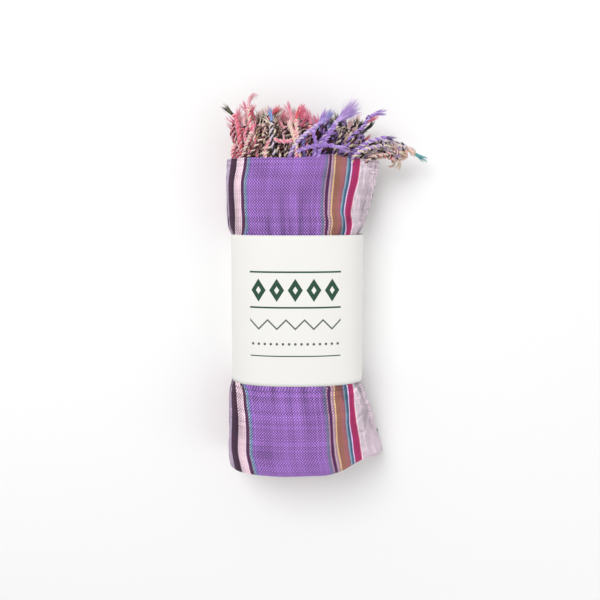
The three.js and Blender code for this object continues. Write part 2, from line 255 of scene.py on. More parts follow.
def mixColours(tree, factor, first, second, blend="MIX"):
    node = tree.nodes.new("ShaderNodeMix")
    node.data_type = "RGBA"
    node.blend_type = blend
    for socket, value in ((node.inputs[0], factor), (node.inputs[6], first), (node.inputs[7], second)):
        feed(tree, socket, value)
    return node.outputs[2]


def shadeColour(tree, colour, shade):  # the colour multiplied by one number
    grey = addNode(tree, "ShaderNodeCombineXYZ", X=shade, Y=shade, Z=shade).outputs[0]
    return mixColours(tree, 1.0, colour, grey, "MULTIPLY")


def objectPlace(tree):
    return tree.nodes.new("ShaderNodeTexCoord").outputs["Object"]


def readAttribute(tree, name, output="Fac"):
    return addNode(tree, "ShaderNodeAttribute", {"attribute_name": name}).outputs[output]


def readMap(tree, name):  # U and V
    flat = addNode(tree, "ShaderNodeUVMap", {"uv_map": name}).outputs[0]
    return addNode(tree, "ShaderNodeSeparateXYZ", Vector=flat).outputs


def newGroup(name, inputs, outputs):  # sockets as pairs of (name, kind) or (name, kind, default)
    tree = bpy.data.node_groups.new(name, "ShaderNodeTree")
    for direction, sockets in (("INPUT", inputs), ("OUTPUT", outputs)):
        for label, kind, *default in sockets:
            made = tree.interface.new_socket(name=label, in_out=direction, socket_type="NodeSocket" + kind)
            if default:
                made.default_value = default[0]
    given = tree.nodes.new("NodeGroupInput").outputs
    return tree, given, tree.nodes.new("NodeGroupOutput").inputs


def newMaterial(name, roughness, sheen=0, sheenRoughness=0.5):
    material = bpy.data.materials.new(name)
    material.use_nodes = True
    tree = material.node_tree
    shader = tree.nodes["Principled BSDF"]
    shader.inputs["Roughness"].default_value = roughness
    shader.inputs["Sheen Weight"].default_value = sheen
    shader.inputs["Sheen Roughness"].default_value = sheenRoughness
    return material, tree, shader


def placeGroup(tree, group, **inputs):
    return addNode(tree, "ShaderNodeGroup", {"node_tree": group}, **inputs).outputs


# Plain weave: warp threads run along V, weft threads along U, each over one and under one
def makeWeaveGroup():
    tree, given, made = newGroup(
        "plainWeave",
        [(name, "Float") for name in ("U", "V", "Warp Pitch", "Weft Pitch", "Unevenness")],
        [(name, "Float") for name in ("Weft Over", "Height", "Warp Number", "Thread Tone")],
    )
    position = addNode(tree, "ShaderNodeCombineXYZ", X=given["U"], Y=given["V"]).outputs[0]
    flat = {"noise_dimensions": "2D"}
    drift = addNode(tree, "ShaderNodeTexNoise", flat, Vector=position, Scale=170.0, Detail=2.0).outputs[0]
    sway = maths(tree, "MULTIPLY", maths(tree, "SUBTRACT", drift, 0.5), given["Unevenness"])
    across = maths(tree, "ADD", maths(tree, "DIVIDE", given["U"], given["Warp Pitch"]), sway)
    along = maths(tree, "SUBTRACT", maths(tree, "DIVIDE", given["V"], given["Weft Pitch"]), sway)
    # a soft checkerboard: above nought where the weft crosses over
    waves = [maths(tree, "SINE", maths(tree, "MULTIPLY", place, pi)) for place in (across, along)]
    check = maths(tree, "MULTIPLY", *waves)
    over = maths(tree, "MULTIPLY_ADD", check, 0.9, 0.5)
    tree.links.new(addNode(tree, "ShaderNodeClamp", Value=over).outputs[0], made["Weft Over"])
    tree.links.new(maths(tree, "POWER", maths(tree, "ABSOLUTE", check), 0.5), made["Height"])
    numbers = [maths(tree, "FLOOR", place) for place in (across, along)]
    tree.links.new(numbers[0], made["Warp Number"])
    perThread = {"noise_dimensions": "1D"}
    tones = [addNode(tree, "ShaderNodeTexWhiteNoise", perThread, W=number).outputs[0] for number in numbers]
    tree.links.new(maths(tree, "SUBTRACT", maths(tree, "ADD", *tones), 1.0), made["Thread Tone"])
    return tree


# Soft shade changes from handling, on Object coordinates
def makeHandlingGroup():
    tree, given, made = newGroup(
        "handling", [("Colour", "Color"), ("Amount", "Float", 0.1), ("Scale", "Float", 30.0)],
        [("Colour", "Color")],
    )
    clouds = addNode(
        tree, "ShaderNodeTexNoise", Vector=objectPlace(tree), Scale=given["Scale"], Detail=3.0,
    ).outputs[0]
    offMiddle = maths(tree, "SUBTRACT", clouds, 0.5)
    lift = maths(tree, "ADD", 1.0, maths(tree, "MULTIPLY", offMiddle, given["Amount"]))
    tree.links.new(shadeColour(tree, given["Colour"], lift), made["Colour"])
    return tree


weaveGroup = makeWeaveGroup()
handlingGroup = makeHandlingGroup()

# Warp stripes from the free selvage inwards: where each begins in millimetres, and the colours of its even
# and its odd threads
borderStripes = [
    (0, (244, 230, 236), (206, 186, 200)),      # pale ground at the selvage
    (9, (246, 232, 238), (214, 192, 206)),
    (24, (248, 234, 240), (226, 206, 218)),
    (29.8, (146, 6, 74), (208, 34, 104)),       # magenta
    (35.5, (226, 206, 242), (222, 200, 238)),
    (36.5, (16, 82, 108), (66, 130, 154)),      # teal
    (38.4, (156, 180, 200), (150, 172, 194)),
    (39.4, (172, 100, 84), (150, 92, 104)),     # rose brown
    (42.2, (176, 112, 70), (142, 96, 82)),      # brown
    (46.1, (226, 192, 130), (222, 186, 126)),   # sand
    (47, (186, 158, 166), (160, 128, 150)),
    (49, (66, 14, 66), (84, 30, 84)),           # plum
    (50.9, (184, 140, 166), (180, 134, 162)),
    (51.8, (84, 106, 136), (122, 114, 156)),    # slate
    (53.7, (152, 110, 188), (136, 95, 174)),    # violet field
    (105.6, (132, 126, 196), (128, 122, 192)),
    (106.6, (134, 172, 186), (116, 144, 170)),  # mint
    (108.5, (64, 20, 58), (86, 40, 74)),
    (111.4, (250, 222, 232), (230, 202, 214)),  # pale pink
    (118.1, (24, 0, 10), (48, 4, 28)),          # dark plum
    (125.4, (200, 182, 202), (174, 154, 182)),
    (133, (64, 44, 78), (94, 72, 106)),
    (136, (196, 176, 190), (176, 154, 174)),
]
borderEnd = 144  # where the border's last stripe ends
# The rest of the cloth isn't seen: a repeat in the colours of the fringe
fieldWidth = 88
fieldStripes = [
    (0, (214, 172, 184), (196, 150, 168)),      # rose
    (17, (44, 32, 42), (66, 46, 58)),
    (20, (226, 208, 190), (204, 182, 172)),     # cream
    (26, (44, 32, 42), (66, 46, 58)),
    (28, (190, 72, 92), (206, 104, 118)),       # coral
    (35, (96, 30, 50), (118, 44, 66)),
    (39, (214, 172, 184), (226, 200, 200)),
    (54, (88, 118, 178), (120, 142, 192)),      # blue
    (57, (226, 208, 190), (210, 190, 180)),
    (62, (84, 150, 150), (116, 166, 168)),      # teal
    (65, (44, 32, 42), (66, 46, 58)),
    (68, (200, 84, 112), (214, 120, 142)),      # pink
    (78, (110, 112, 70), (132, 130, 92)),       # olive
    (81, (226, 208, 190), (208, 188, 178)),
]
borderSpan = 160  # the length that the border's colour ramp covers
rampLead = 0.3  # a ramp is read in steps of 0.6 mm, so each stripe begins this much before its first thread


def addStripes(tree, place, stripes, width, column):
    ramp = tree.nodes.new("ShaderNodeValToRGB")
    ramp.color_ramp.interpolation = "CONSTANT"
    stops = ramp.color_ramp.elements
    for begins, *colours in stripes[1:]:
        stops.new((begins - rampLead) / width).color = paint(*colours[column])
    stops[0].color = paint(*stripes[0][column + 1])
    last = max(stops, key=lambda stop: stop.position)
    last.color = paint(*stripes[-1][column + 1])
    tree.links.new(place, ramp.inputs[0])
    return ramp.outputs[0]


def makeStripedCotton():
    look = {
        "warpPitch": 0.00096, "weftPitch": 0.00104, "unevenness": 0.8,
        "weft": (178, 126, 186), "weftShow": 0.12,
        "groundWidth": 29.8, "groundWeft": (120, 92, 130), "groundShow": 0.18,
        "fleckWidth": 0.00096, "fleckLength": 0.0016, "fleckSpread": 0.68, "fleckMiddle": 0.4,
        # painted light and shade: the weft's crossings are painted lighter, and the warp's and the crease
        # bottoms darker
        "brightness": 1.09, "contrast": 1.6, "toneSpread": 0.36, "troughShade": 0.4,
        "bump": 0.00016, "fuzzBump": 0.00005,
    }
    material, tree, shader = newMaterial("stripedCotton", 0.9, sheen=0.05, sheenRoughness=0.6)
    shader.inputs["Specular IOR Level"].default_value = 0.35
    axes = readMap(tree, "cut")
    weave = placeGroup(
        tree, weaveGroup, U=axes[0], V=axes[1], WarpPitch=look["warpPitch"], WeftPitch=look["weftPitch"],
        Unevenness=look["unevenness"],
    )
    # a stripe changes between two threads, never within one
    thread = maths(tree, "MULTIPLY", maths(tree, "ADD", weave["Warp Number"], 0.5), look["warpPitch"])
    inBorder = maths(tree, "DIVIDE", thread, borderSpan * toMetres)
    pastBorder = maths(tree, "SUBTRACT", thread, borderEnd * toMetres)
    inField = maths(tree, "FRACT", maths(tree, "DIVIDE", pastBorder, fieldWidth * toMetres))
    odd = maths(tree, "FLOORED_MODULO", weave["Warp Number"], 2.0)
    borders = [addStripes(tree, inBorder, borderStripes, borderSpan, column) for column in (0, 1)]
    fields = [addStripes(tree, inField, fieldStripes, fieldWidth, column) for column in (0, 1)]
    isField = maths(tree, "GREATER_THAN", pastBorder, 0.0)
    warp = mixColours(tree, isField, mixColours(tree, odd, *borders), mixColours(tree, odd, *fields))
    # on the pale ground the weft shows more, as darker flecks
    isGround = maths(tree, "LESS_THAN", thread, look["groundWidth"] * toMetres)
    share = maths(tree, "ADD", look["weftShow"], maths(tree, "MULTIPLY", isGround, look["groundShow"]))
    weft = mixColours(tree, isGround, paint(*look["weft"]), paint(*look["groundWeft"]))
    cloth = mixColours(tree, maths(tree, "MULTIPLY", weave["Weft Over"], share), warp, weft)
    # painted light and shade: the weft's crossings are painted lighter as if they catch the light, the warp's
    # darker as if they lie lower in shade, and threads differ a little in tone
    centred = maths(tree, "SUBTRACT", weave["Weft Over"], 0.5)
    lift = maths(tree, "ADD", look["brightness"], maths(tree, "MULTIPLY", centred, look["contrast"]))
    shade = maths(tree, "ADD", lift, maths(tree, "MULTIPLY", weave["Thread Tone"], look["toneSpread"]))
    fleckSizes = ((axes[0], look["fleckWidth"]), (axes[1], look["fleckLength"]))
    cells = [maths(tree, "FLOOR", maths(tree, "DIVIDE", *pair)) for pair in fleckSizes]
    cell = addNode(tree, "ShaderNodeCombineXYZ", X=cells[0], Y=cells[1]).outputs[0]
    fleck = addNode(tree, "ShaderNodeTexWhiteNoise", {"noise_dimensions": "2D"}, Vector=cell).outputs[0]
    spread = maths(tree, "MULTIPLY", isGround, look["fleckSpread"])
    offMiddle = maths(tree, "SUBTRACT", fleck, look["fleckMiddle"])
    shade = maths(tree, "ADD", shade, maths(tree, "MULTIPLY", offMiddle, spread))
    # painted shade: the bottom of a crease is darkened in the cloth's colour, where shade would fall
    paintedTroughFactor = maths(tree, "MULTIPLY_ADD", readAttribute(tree, "trough"), -look["troughShade"], 1.0)
    shaded = shadeColour(tree, cloth, maths(tree, "MULTIPLY", shade, paintedTroughFactor))
    handled = placeGroup(tree, handlingGroup, Colour=shaded, Amount=0.16, Scale=28.0)["Colour"]
    tree.links.new(handled, shader.inputs["Base Color"])
    fuzz = addNode(tree, "ShaderNodeTexNoise", Vector=objectPlace(tree), Scale=2600.0, Detail=2.0).outputs[0]
    soft = addNode(tree, "ShaderNodeBump", Strength=0.5, Distance=look["fuzzBump"], Height=fuzz).outputs[0]
    threads = {"Distance": look["bump"], "Height": weave["Height"], "Normal": soft}
    bump = addNode(tree, "ShaderNodeBump", Strength=0.8, **threads)
    tree.links.new(bump.outputs[0], shader.inputs["Normal"])
    return material


stripedCotton = makeStripedCotton()
print("materials: striped cotton")


# The outer leaf and the leaves under its free selvage: doubled cloth with a fold at both ends
leafShape = {
    "flapColumns": 34, "wrapColumns": 166, "outerRows": 112, "foldRows": 5, "cloth": 0.45, "shiftEase": 6,
    "restsFrom": 200, "restsTo": 300, "ragged": {"columns": 9, "top": 0.5, "bottomShare": 0.6},
    "wall": 1.35, "underWall": 1, "firstUnder": 1.7, "underStep": 1.3, "underDrawn": 0.5,
}
# shares of the lip, from its inner end
lipSteps = [1, 0.84, 0.8, 0.76, 0.72, 0.62, 0.5, 0.38, 0.26, 0.16, 0.08, 0.03]
lip = {"atFlap": {"top": 59, "bottom": 72}, "elsewhere": 9, "eased": 26}
edgeRise = {"height": 2.4, "angle": 66, "spread": 13}
tailSetback = {"fromAngle": 285, "overAngle": 30, "topEnd": 104}

quietPlace = 85  # a Y where the band hardly squeezes the roll


# How far each angle lies from the middle of the top, along the roll's surface, to the right above nought
def measureAcross():
    angles = [2 * step for step in range(-15, 181)]
    lengths = runningLengths([rollPoint(angle, quietPlace, 0) for angle in angles])
    middle = lengths[angles.index(90)]
    return [(angle, middle - length) for angle, length in zip(angles, lengths)]


acrossTable = measureAcross()

# Creases: across is measured from the top's middle, along is Y, lift is below nought in a trough
creases = [
    # start across and along, end across and along, width, lift
    # gathers that run up from the band
    (-19, 58, -17, 88, 1.9, -1.3),
    (-9, 58, -10, 96, 2.1, -1.5),
    (-2, 58, -3, 82, 1.6, -1.1),
    (4, 58, 3, 93, 2, -1.4),
    (12, 58, 10, 78, 1.6, -1),
    (-14, 60, -13, 84, 2.3, 0.7),
    (0.8, 60, 0, 88, 2.1, 0.6),
    (33, 57, 42, 80, 3.2, -1.1),
    (26, 58, 30, 71, 2.2, -0.5),
    (-33, 58, -36, 73, 2.6, -0.6),
    (-44, 60, -40, 92, 3.6, -0.8),
    # gathers below it
    (-17, -46, -15, -74, 2, -0.95),
    (-4, -46, -3, -68, 1.8, -0.8),
    (6, -46, 9, -82, 2.3, -1),
    (19, -46, 23, -70, 2, -0.85),
    (34, -46, 45, -84, 3.6, -1.1),
    (-31, -47, -27, -80, 3, -0.6),
    (-43, -50, -38, -98, 3.4, -0.8),
    # long slack folds across the open cloth
    (-30, 104, 6, 96, 5, -0.5),
    (20, 100, 36, 86, 4, -0.55),
    (-26, -96, 18, -104, 5, -0.45),
    (52, -70, 70, -100, 4.5, -0.7),
    (50, 74, 62, 100, 4.5, -0.7),
    # the left side
    (-58, 60, -62, 98, 4, -1.3),
    (-66, 59, -65, 84, 3, 0.9),
    (-72, 59, -69, 90, 3.2, -1.4),
    (-86, 60, -81, 103, 4.2, -1.3),
    (-62, -47, -58, -86, 3.4, -1.3),
    (-69, -47, -70, -72, 2.8, 0.8),
    (-77, -48, -82, -103, 4.4, -1.4),
    (-64, -86, -92, -72, 4, -0.8),
    (-60, 104, -88, 90, 4, -0.7),
    # the free flap on the right
    (56, 59, 66, 90, 3.6, -1.2),
    (66, 60, 78, 78, 3, -0.9),
    (62, 72, 76, 104, 4, 0.7),
    (54, -47, 64, -88, 3.8, -1.2),
    (66, -48, 84, -74, 3.2, -1),
    (66, -66, 92, -104, 4.6, 0.8),
]


creaseFade = 0.7
slackFolds = [(17, 26, 3, 0.5), (7, 13, 8, 0.16)]  # width, length, place in the noise, height
slackEase = 12


def reliefAt(across, y):
    rise = 0
    for startAcross, startY, endAcross, endY, width, lift in creases:
        runAcross, runY = endAcross - startAcross, endY - startY
        share = ((across - startAcross) * runAcross + (y - startY) * runY) / (runAcross**2 + runY**2)
        kept = clamped(share)
        away = hypot(across - startAcross - kept * runAcross, y - startY - kept * runY)
        if away < 3 * width:
            rise += lift * bell(away, width) * (1 - kept) ** creaseFade
    slack = 0
    for wide, long, place, height in slackFolds:
        slack += noise.noise(Vector((across / wide, y / long, place))) * height
    return rise + slack * smoothShare(outsideBand(y) / slackEase)


def leafRows(top, bottom, wall, topLip, bottomLip):
    # pairs of (Y, depth) from the inner end of the upper lip, over the outer face, to that of the lower lip
    bend = wall / 2
    folds = [pi * (step + 0.5) / leafShape["foldRows"] for step in range(leafShape["foldRows"])]
    rows = [(top - bend - topLip * step, wall) for step in lipSteps]
    rows += [(top - bend + bend * sin(turn), bend + bend * cos(turn)) for turn in folds]
    count = leafShape["outerRows"]
    rows += [(mixed(top - bend, bottom + bend, step / (count - 1)), 0) for step in range(count)]
    rows += [(bottom + bend - bend * sin(turn), bend - bend * cos(turn)) for turn in folds]
    return rows + [(bottom + bend + bottomLip * step, wall) for step in reversed(lipSteps)]


# Where the stripes cross each row of the photograph, as lengths along the roll from its right side
stripeRows = [
    # Y, magenta's two edges, sand's left, violet's two edges, dark plum's left
    (-107, 41, 48, 60.3, 68.6, 120.6, 140.5),
    (-96, 39.1, 46.1, 58, 66.3, 118.5, 138.3),
    (-86, 36.8, 42.9, 55.4, 62.6, 114.6, 134.2),
    (-75, 35.7, 41.3, 52.1, 59.4, 111.2, 130),
    (-63, 33.6, 37.2, 48.6, 56.2, 108.1, 126.4),
    (-52, 28.7, 32.9, 44.2, 52, 104.8, 122.7),
    (-47.5, 26.5, 31, 41.3, 49.1, 104.8, 122.7),
    (59.5, 27.5, 31.2, 42.2, 49.4, 104.3, 123),
    (63, 29.4, 33.2, 44.4, 52.2, 105.4, 124.4),
    (74, 34.6, 39.6, 49.5, 57.1, 108, 125.2),
    (84.5, 35.6, 40.9, 51.8, 59.5, 110.2, 127.8),
    (95, 34.4, 40.7, 53.1, 61.4, 112.6, 129.8),
    (106, 35.2, 42, 55.4, 61.8, 113.3, 129.4),
]
stripeEdges = (30, 35.6, 46.6, 53.6, 105.6, 124.4)  # the same edges on the flat cloth


def flatPlace(length, selvage, y):  # from a length round the roll to a distance from the flat cloth's selvage
    anchors = [(selvage, 0)]
    for column, edge in enumerate(stripeEdges, 1):
        anchors.append((between([(row[0], row[column]) for row in stripeRows], y), edge))
    if length > anchors[-1][0]:
        return stripeEdges[-1] + length - anchors[-1][0]
    return between(anchors, length)


def makeLeaf(name, node, depth, wall, top, bottom, wraps, shift):
    columns = leafShape["flapColumns"] + (leafShape["wrapColumns"] if wraps else 0) + 1
    firstOuter = len(lipSteps) + leafShape["foldRows"]
    lastOuter = firstOuter + leafShape["outerRows"] - 1
    rows = firstOuter + lastOuter + 1
    ragged = leafShape["ragged"]
    bm = bmesh.new()
    troughLayer = bm.verts.layers.float.new("trough")
    grid = gridOfVerts(bm, columns, rows)

    def angleAt(column, y):
        flapShare = column / leafShape["flapColumns"]
        if flapShare <= 1:
            ease = max(0, 1 - leafShape["shiftEase"] * flapShare)
            return mixed(selvageAngle(y) + shift * ease, flap["startAngle"], flapShare)
        wrapShare = (column - leafShape["flapColumns"]) / leafShape["wrapColumns"]
        return mixed(flap["startAngle"], tail["endAngle"], wrapShare)

    for column in range(columns):
        about = angleAt(column, roll["topEnd"])
        upper = top
        if wraps:
            rise = edgeRise["height"] * bell(about - edgeRise["angle"], edgeRise["spread"])
            setback = smoothShare((about - tailSetback["fromAngle"]) / tailSetback["overAngle"])
            upper = top + rise - (top - tailSetback["topEnd"]) * setback
        uneven = noise.noise(Vector((column / ragged["columns"], depth, 1))) * ragged["top"]
        long = 1 - smoothShare((about - flap["startAngle"]) / lip["eased"])
        lips = [mixed(lip["elsewhere"], lip["atFlap"][end], long) for end in ("top", "bottom")]
        lower = bottom + notchAt(leafPoint(angleAt(column, bottom), bottom, depth).x)
        places = leafRows(upper + uneven, lower + uneven * ragged["bottomShare"], wall, *lips)
        for row, (y, inward) in enumerate(places):
            angle = angleAt(column, y)
            sunk, lift = depth, 0
            if wraps:
                sunk += tailDepth(angle)
            isUnder = leafShape["restsFrom"] < angle < leafShape["restsTo"]  # the underside rests flat
            if wraps and not isUnder:
                lift = reliefAt(between(acrossTable, angle), y)
            grid[column][row].co = leafPoint(angle, y, sunk + inward - lift, depth + inward)
            # the trough's depth, which the cloth's colour uses to paint shade into its creases
            grid[column][row][troughLayer] = clamped(-lift)

    # lengths along each column, counted from the upper fold, give the weft its place
    alongPlaces = []
    for line in grid:
        lengths = runningLengths([vert.co for vert in line])
        start = roll["topEnd"] - line[firstOuter].co.y - lengths[firstOuter]
        alongPlaces.append([start + length for length in lengths])
    # lengths along each outer row, counted from the nominal selvage, give the stripes theirs
    cutPlaces = {}
    flapRange = range(leafShape["flapColumns"] + 1)
    for row in range(rows):
        line = [grid[column][min(max(row, firstOuter), lastOuter)].co for column in range(columns)]
        lengths = runningLengths(line)
        flapTable = [(angleAt(column, line[0].y), lengths[column]) for column in flapRange]
        zero = between(flapTable, flap["freeAngle"])
        for column, length in enumerate(lengths):
            across = flatPlace(length - zero, -zero, line[column].y) if wraps else length
            cutPlaces[grid[column][row]] = (across, alongPlaces[column][row])
    writePlaces(bm, "cut", cutPlaces)
    spans = [[place[axis] for place in cutPlaces.values()] for axis in (0, 1)]
    width, length = [(max(span) - min(span)) * toMetres for span in spans]
    area = sum(face.calc_area() for face in bm.faces) * toMetres**2
    piece = finishPiece(bm, name, stripedCotton, "cotton_cloth", node)
    giveThickness(piece, leafShape["cloth"])
    print(name, "cut", round(width, 3), "by", round(length, 3), "m, area", round(area, 4))
    return piece, {"flat": (round(width, 3), round(length, 3)), "area": round(area, 4)}


outerCloth, outerCut = makeLeaf(
    "outerCloth", "outer_leaf", 0, leafShape["wall"], roll["topEnd"], roll["bottomEnd"], True, 0,
)
for number, shift in enumerate((-0.7, 1.4, -0.7), 1):
    depth = leafShape["firstUnder"] + leafShape["underStep"] * (number - 1)
    lowerEnd = roll["bottomEnd"] + leafShape["underDrawn"] * number
    makeLeaf(
            f"underCloth{number}", f"under_leaf_{number}", depth, leafShape["underWall"],
            tailSetback["topEnd"], lowerEnd, False, shift,
        )


# The weft turns back at the free selvage in small loops, some of them slack and dark
loops = {
    "pitch": 2.08, "radius": 0.52, "tube": 0.2, "slackSize": 2, "sides": 5, "steps": 5,
    "out": (0.85, 0, -0.5), "endGap": 2, "depth": 0.4, "footSunk": 0.15,
}
slackLoops = (92.5, 87.5, 86, 82.5, 76, -47.5, -76, -78.5, -92)  # by Y, as the photograph shows them


def makeSelvageLoops():
    material, tree, shader = newMaterial("weftThread", 0.9, sheen=0.1)
    tinted = mixColours(tree, readAttribute(tree, "slack"), paint(178, 156, 180), paint(48, 34, 54))
    handled = placeGroup(tree, handlingGroup, Colour=tinted, Amount=0.9, Scale=300.0)["Colour"]
    tree.links.new(handled, shader.inputs["Base Color"])
    half = bmesh.new()
    foot = Matrix.Translation((0, loops["radius"], 0))
    bmesh.ops.create_circle(half, segments=loops["sides"], radius=loops["tube"], matrix=foot)
    spinAbout(half, half.verts[:] + half.edges[:], -pi, loops["steps"])
    closeHoles(half, loops["sides"])
    loopMesh = keepMesh(half, "loop")
    bm = bmesh.new()
    slackLayer = bm.verts.layers.float.new("slack")
    lowest = roll["bottomEnd"] + loops["endGap"]
    count = round((roll["topEnd"] - loops["endGap"] - lowest) / loops["pitch"])
    even = [lowest + loops["pitch"] * step for step in range(count + 1)]
    spots = [(y, 1, 0) for y in even if outsideBand(y) > 0] + [(y, loops["slackSize"], 1) for y in slackLoops]
    out = Vector(loops["out"]).normalized()
    for y, size, slack in spots:
        foot = leafPoint(selvageAngle(y), y, loops["depth"])
        for vert in addCopy(bm, loopMesh):
            local = vert.co * size
            vert.co = foot + out * (local.x - loops["footSunk"]) + Vector((0, local.y, local.z))
            vert[slackLayer] = slack
    bpy.data.meshes.remove(loopMesh)
    bmesh.ops.recalc_face_normals(bm, faces=bm.faces)
    return finishPiece(bm, "selvageLoops", material, "cotton_cloth")


selvageLoops = makeSelvageLoops()
print("cloth: loops along the selvage")


# The inner turns: one rounded body whose ends show the four folds of each turn
turns = {
    "topEnd": 104, "bottomEnd": -110.6, "startAngle": -10, "startDepth": 3.5, "innerDepth": 25,
    "columns": 120, "stations": (94, 80, 64, 58, 0, -46, -52, -70, -98),
    "outside": 1.7, "underFlap": 6.3, "flapEase": 20,
    "foldsPerTurn": 4, "stepsPerFold": 6, "lead": 4.8, "foldRise": 0.5, "valley": 2.2, "endRound": 1,
    "unevenness": 0.9, "cutStart": 430, "cutShare": 0.9, "cutStretch": 3,
}


def ridgeDepth(angle, turn=0):
    return turns["startDepth"] + roll["turnPitch"] * (turn + (angle - turns["startAngle"]) / 360)


def coreDepth(angle):
    turned = angle % 360
    if turned > tail["startAngle"]:
        return turns["outside"] + tailDepth(turned)
    if turned > flap["startAngle"] + 1:
        return turns["outside"]
    return turns["underFlap"] + turns["outside"] * max(0, 1 - turned / turns["flapEase"])


def makeInnerTurns():
    columns = turns["columns"] + 1
    pitch, startAngle = roll["turnPitch"], turns["startAngle"]
    foldPitch = pitch / turns["foldsPerTurn"]
    ringStep = pitch / (turns["foldsPerTurn"] * turns["stepsPerFold"])
    rings = round((turns["innerDepth"] - turns["startDepth"] + turns["lead"]) / ringStep) + 2
    rows = 2 * rings + len(turns["stations"])
    bm = bmesh.new()
    grid = gridOfVerts(bm, columns, rows)
    cutPlaces = {}
    # length along the winding, by turned angle
    windingAngles = range(startAngle, startAngle + 361, 3)
    wound = runningLengths([rollPoint(angle, turns["topEnd"], ridgeDepth(angle)) for angle in windingAngles])
    for column in range(columns):
        angle = startAngle + 360 * column / turns["columns"]
        edge = coreDepth(angle)
        full = turns["cutStart"] + wound[round(column * (len(wound) - 1) / turns["columns"])]
        for end, out in ((turns["topEnd"], 1), (turns["bottomEnd"], -1)):
            for ring in range(rings):
                ridge = ridgeDepth(angle) - turns["lead"] + ring * ringStep
                depth = min(turns["innerDepth"], max(edge, ridge))
                place = ridge - ridgeDepth(angle)
                fold = floor(place / foldPitch + 0.5)
                phase = place / foldPitch - fold  # from -0.5 to 0.5 across one fold
                back = 1 - abs(2 * phase) ** 3
                winding = floor(place / pitch + 0.5)
                turned = (angle - startAngle) / 360 + winding
                ragged = noise.noise(Vector((turned * 7, fold * 1.7, out * 5))) * turns["unevenness"]
                height = mixed(-turns["valley"], turns["foldRise"] + ragged, back)
                if depth in (edge, turns["innerDepth"]):
                    height = -turns["endRound"]
                vert = grid[column][rings - 1 - ring if out > 0 else rows - rings + ring]
                vert.co = rollPoint(angle, end, depth)
                vert.co.y = end + out * height + (notchAt(vert.co.x) if out < 0 else 0)
                across = full + wound[-1] * winding * turns["cutShare"]
                cutPlaces[vert] = (across, ring * ringStep * turns["cutStretch"])
        for step, y in enumerate(turns["stations"]):
            vert = grid[column][rings + step]
            vert.co = rollPoint(angle, y, edge, turns["outside"])
            cutPlaces[vert] = (turns["cutStart"] + wound[-1] * column / turns["columns"], y)
    writePlaces(bm, "cut", cutPlaces)
    bmesh.ops.remove_doubles(bm, verts=bm.verts, dist=0.002)
    closeHoles(bm)  # the two small openings in the middle of the ends
    bmesh.ops.recalc_face_normals(bm, faces=bm.faces)
    return finishPiece(bm, "innerTurns", stripedCotton, "cotton_cloth", "roll_core")


innerTurns = makeInnerTurns()
print("cloth: inner turns")


# The paper band: a strip round the roll, lapped underneath, with a plain ornament printed on its face
bandLook = {
    "columns": 150, "rows": 40, "paper": (241, 240, 236), "ink": (22, 72, 48), "greyInk": (92, 100, 98),
    "crease": {"height": 0.25, "across": 26, "along": 30, "from": 20, "to": 200},
}
ornament = {  # millimetres, on the flat band, from the middle of its face
    "halfWidth": 32, "pitch": 12.8, "lozenge": {"along": 15, "halfHeight": 8, "halfWidth": 5.2, "open": 0.34},
    "rules": [(27.5, 0.6), (3, 0.6), (-31, 0.4)], "zigzag": {"along": -12, "height": 6.4, "line": 0.75},
    "dots": {"along": -22.5, "pitch": 12.8 / 3, "radius": 0.95},
}


def makePaper():
    material, tree, shader = newMaterial("bandPaper", 0.62)
    across, along = [maths(tree, "MULTIPLY", axis, 1 / toMetres) for axis in readMap(tree, "strip")[:2]]

    def below(value, limit):
        return maths(tree, "LESS_THAN", value, limit)

    def fromMiddle(pitch):  # distance from the middle of the nearest repeat
        shifted = maths(tree, "FRACT", maths(tree, "ADD", maths(tree, "DIVIDE", across, pitch), 0.5))
        return maths(tree, "ABSOLUTE", maths(tree, "MULTIPLY", maths(tree, "SUBTRACT", shifted, 0.5), pitch))

    def fromLine(place):
        return maths(tree, "ABSOLUTE", maths(tree, "SUBTRACT", along, place))

    inBlock = below(maths(tree, "ABSOLUTE", across), ornament["halfWidth"])
    lozenge, zigzag, dots = ornament["lozenge"], ornament["zigzag"], ornament["dots"]
    sides = maths(
        tree, "ADD", maths(tree, "DIVIDE", fromMiddle(ornament["pitch"]), lozenge["halfWidth"]),
        maths(tree, "DIVIDE", fromLine(lozenge["along"]), lozenge["halfHeight"]),
    )
    # a lozenge with an open middle
    ink = maths(tree, "MULTIPLY", below(sides, 1.0), maths(tree, "GREATER_THAN", sides, lozenge["open"]))
    for place, half in ornament["rules"]:
        ink = maths(tree, "MAXIMUM", ink, below(fromLine(place), half))
    wave = maths(tree, "MULTIPLY", fromMiddle(ornament["pitch"]), 2 * zigzag["height"] / ornament["pitch"])
    aboveZigzag = maths(tree, "SUBTRACT", along, zigzag["along"])
    offWave = maths(tree, "ABSOLUTE", maths(tree, "SUBTRACT", aboveZigzag, wave))
    line = below(offWave, zigzag["line"])
    dotAway = maths(
        tree, "SQRT", maths(
            tree, "ADD", maths(tree, "POWER", fromMiddle(dots["pitch"]), 2.0),
            maths(tree, "POWER", fromLine(dots["along"]), 2.0),
        ),
    )
    grey = maths(tree, "MAXIMUM", line, below(dotAway, dots["radius"]))
    printed = paint(*bandLook["paper"])
    for inked, colour in ((grey, "greyInk"), (ink, "ink")):
        printed = mixColours(tree, maths(tree, "MULTIPLY", inked, inBlock), printed, paint(*bandLook[colour]))
    handled = placeGroup(tree, handlingGroup, Colour=printed, Amount=0.03, Scale=60.0)["Colour"]
    tree.links.new(handled, shader.inputs["Base Color"])
    pulp = addNode(tree, "ShaderNodeTexNoise", Vector=objectPlace(tree), Scale=1400.0, Detail=4.0).outputs[0]
    bump = addNode(tree, "ShaderNodeBump", Strength=0.25, Distance=0.00004, Height=pulp)
    tree.links.new(bump.outputs[0], shader.inputs["Normal"])
    return material


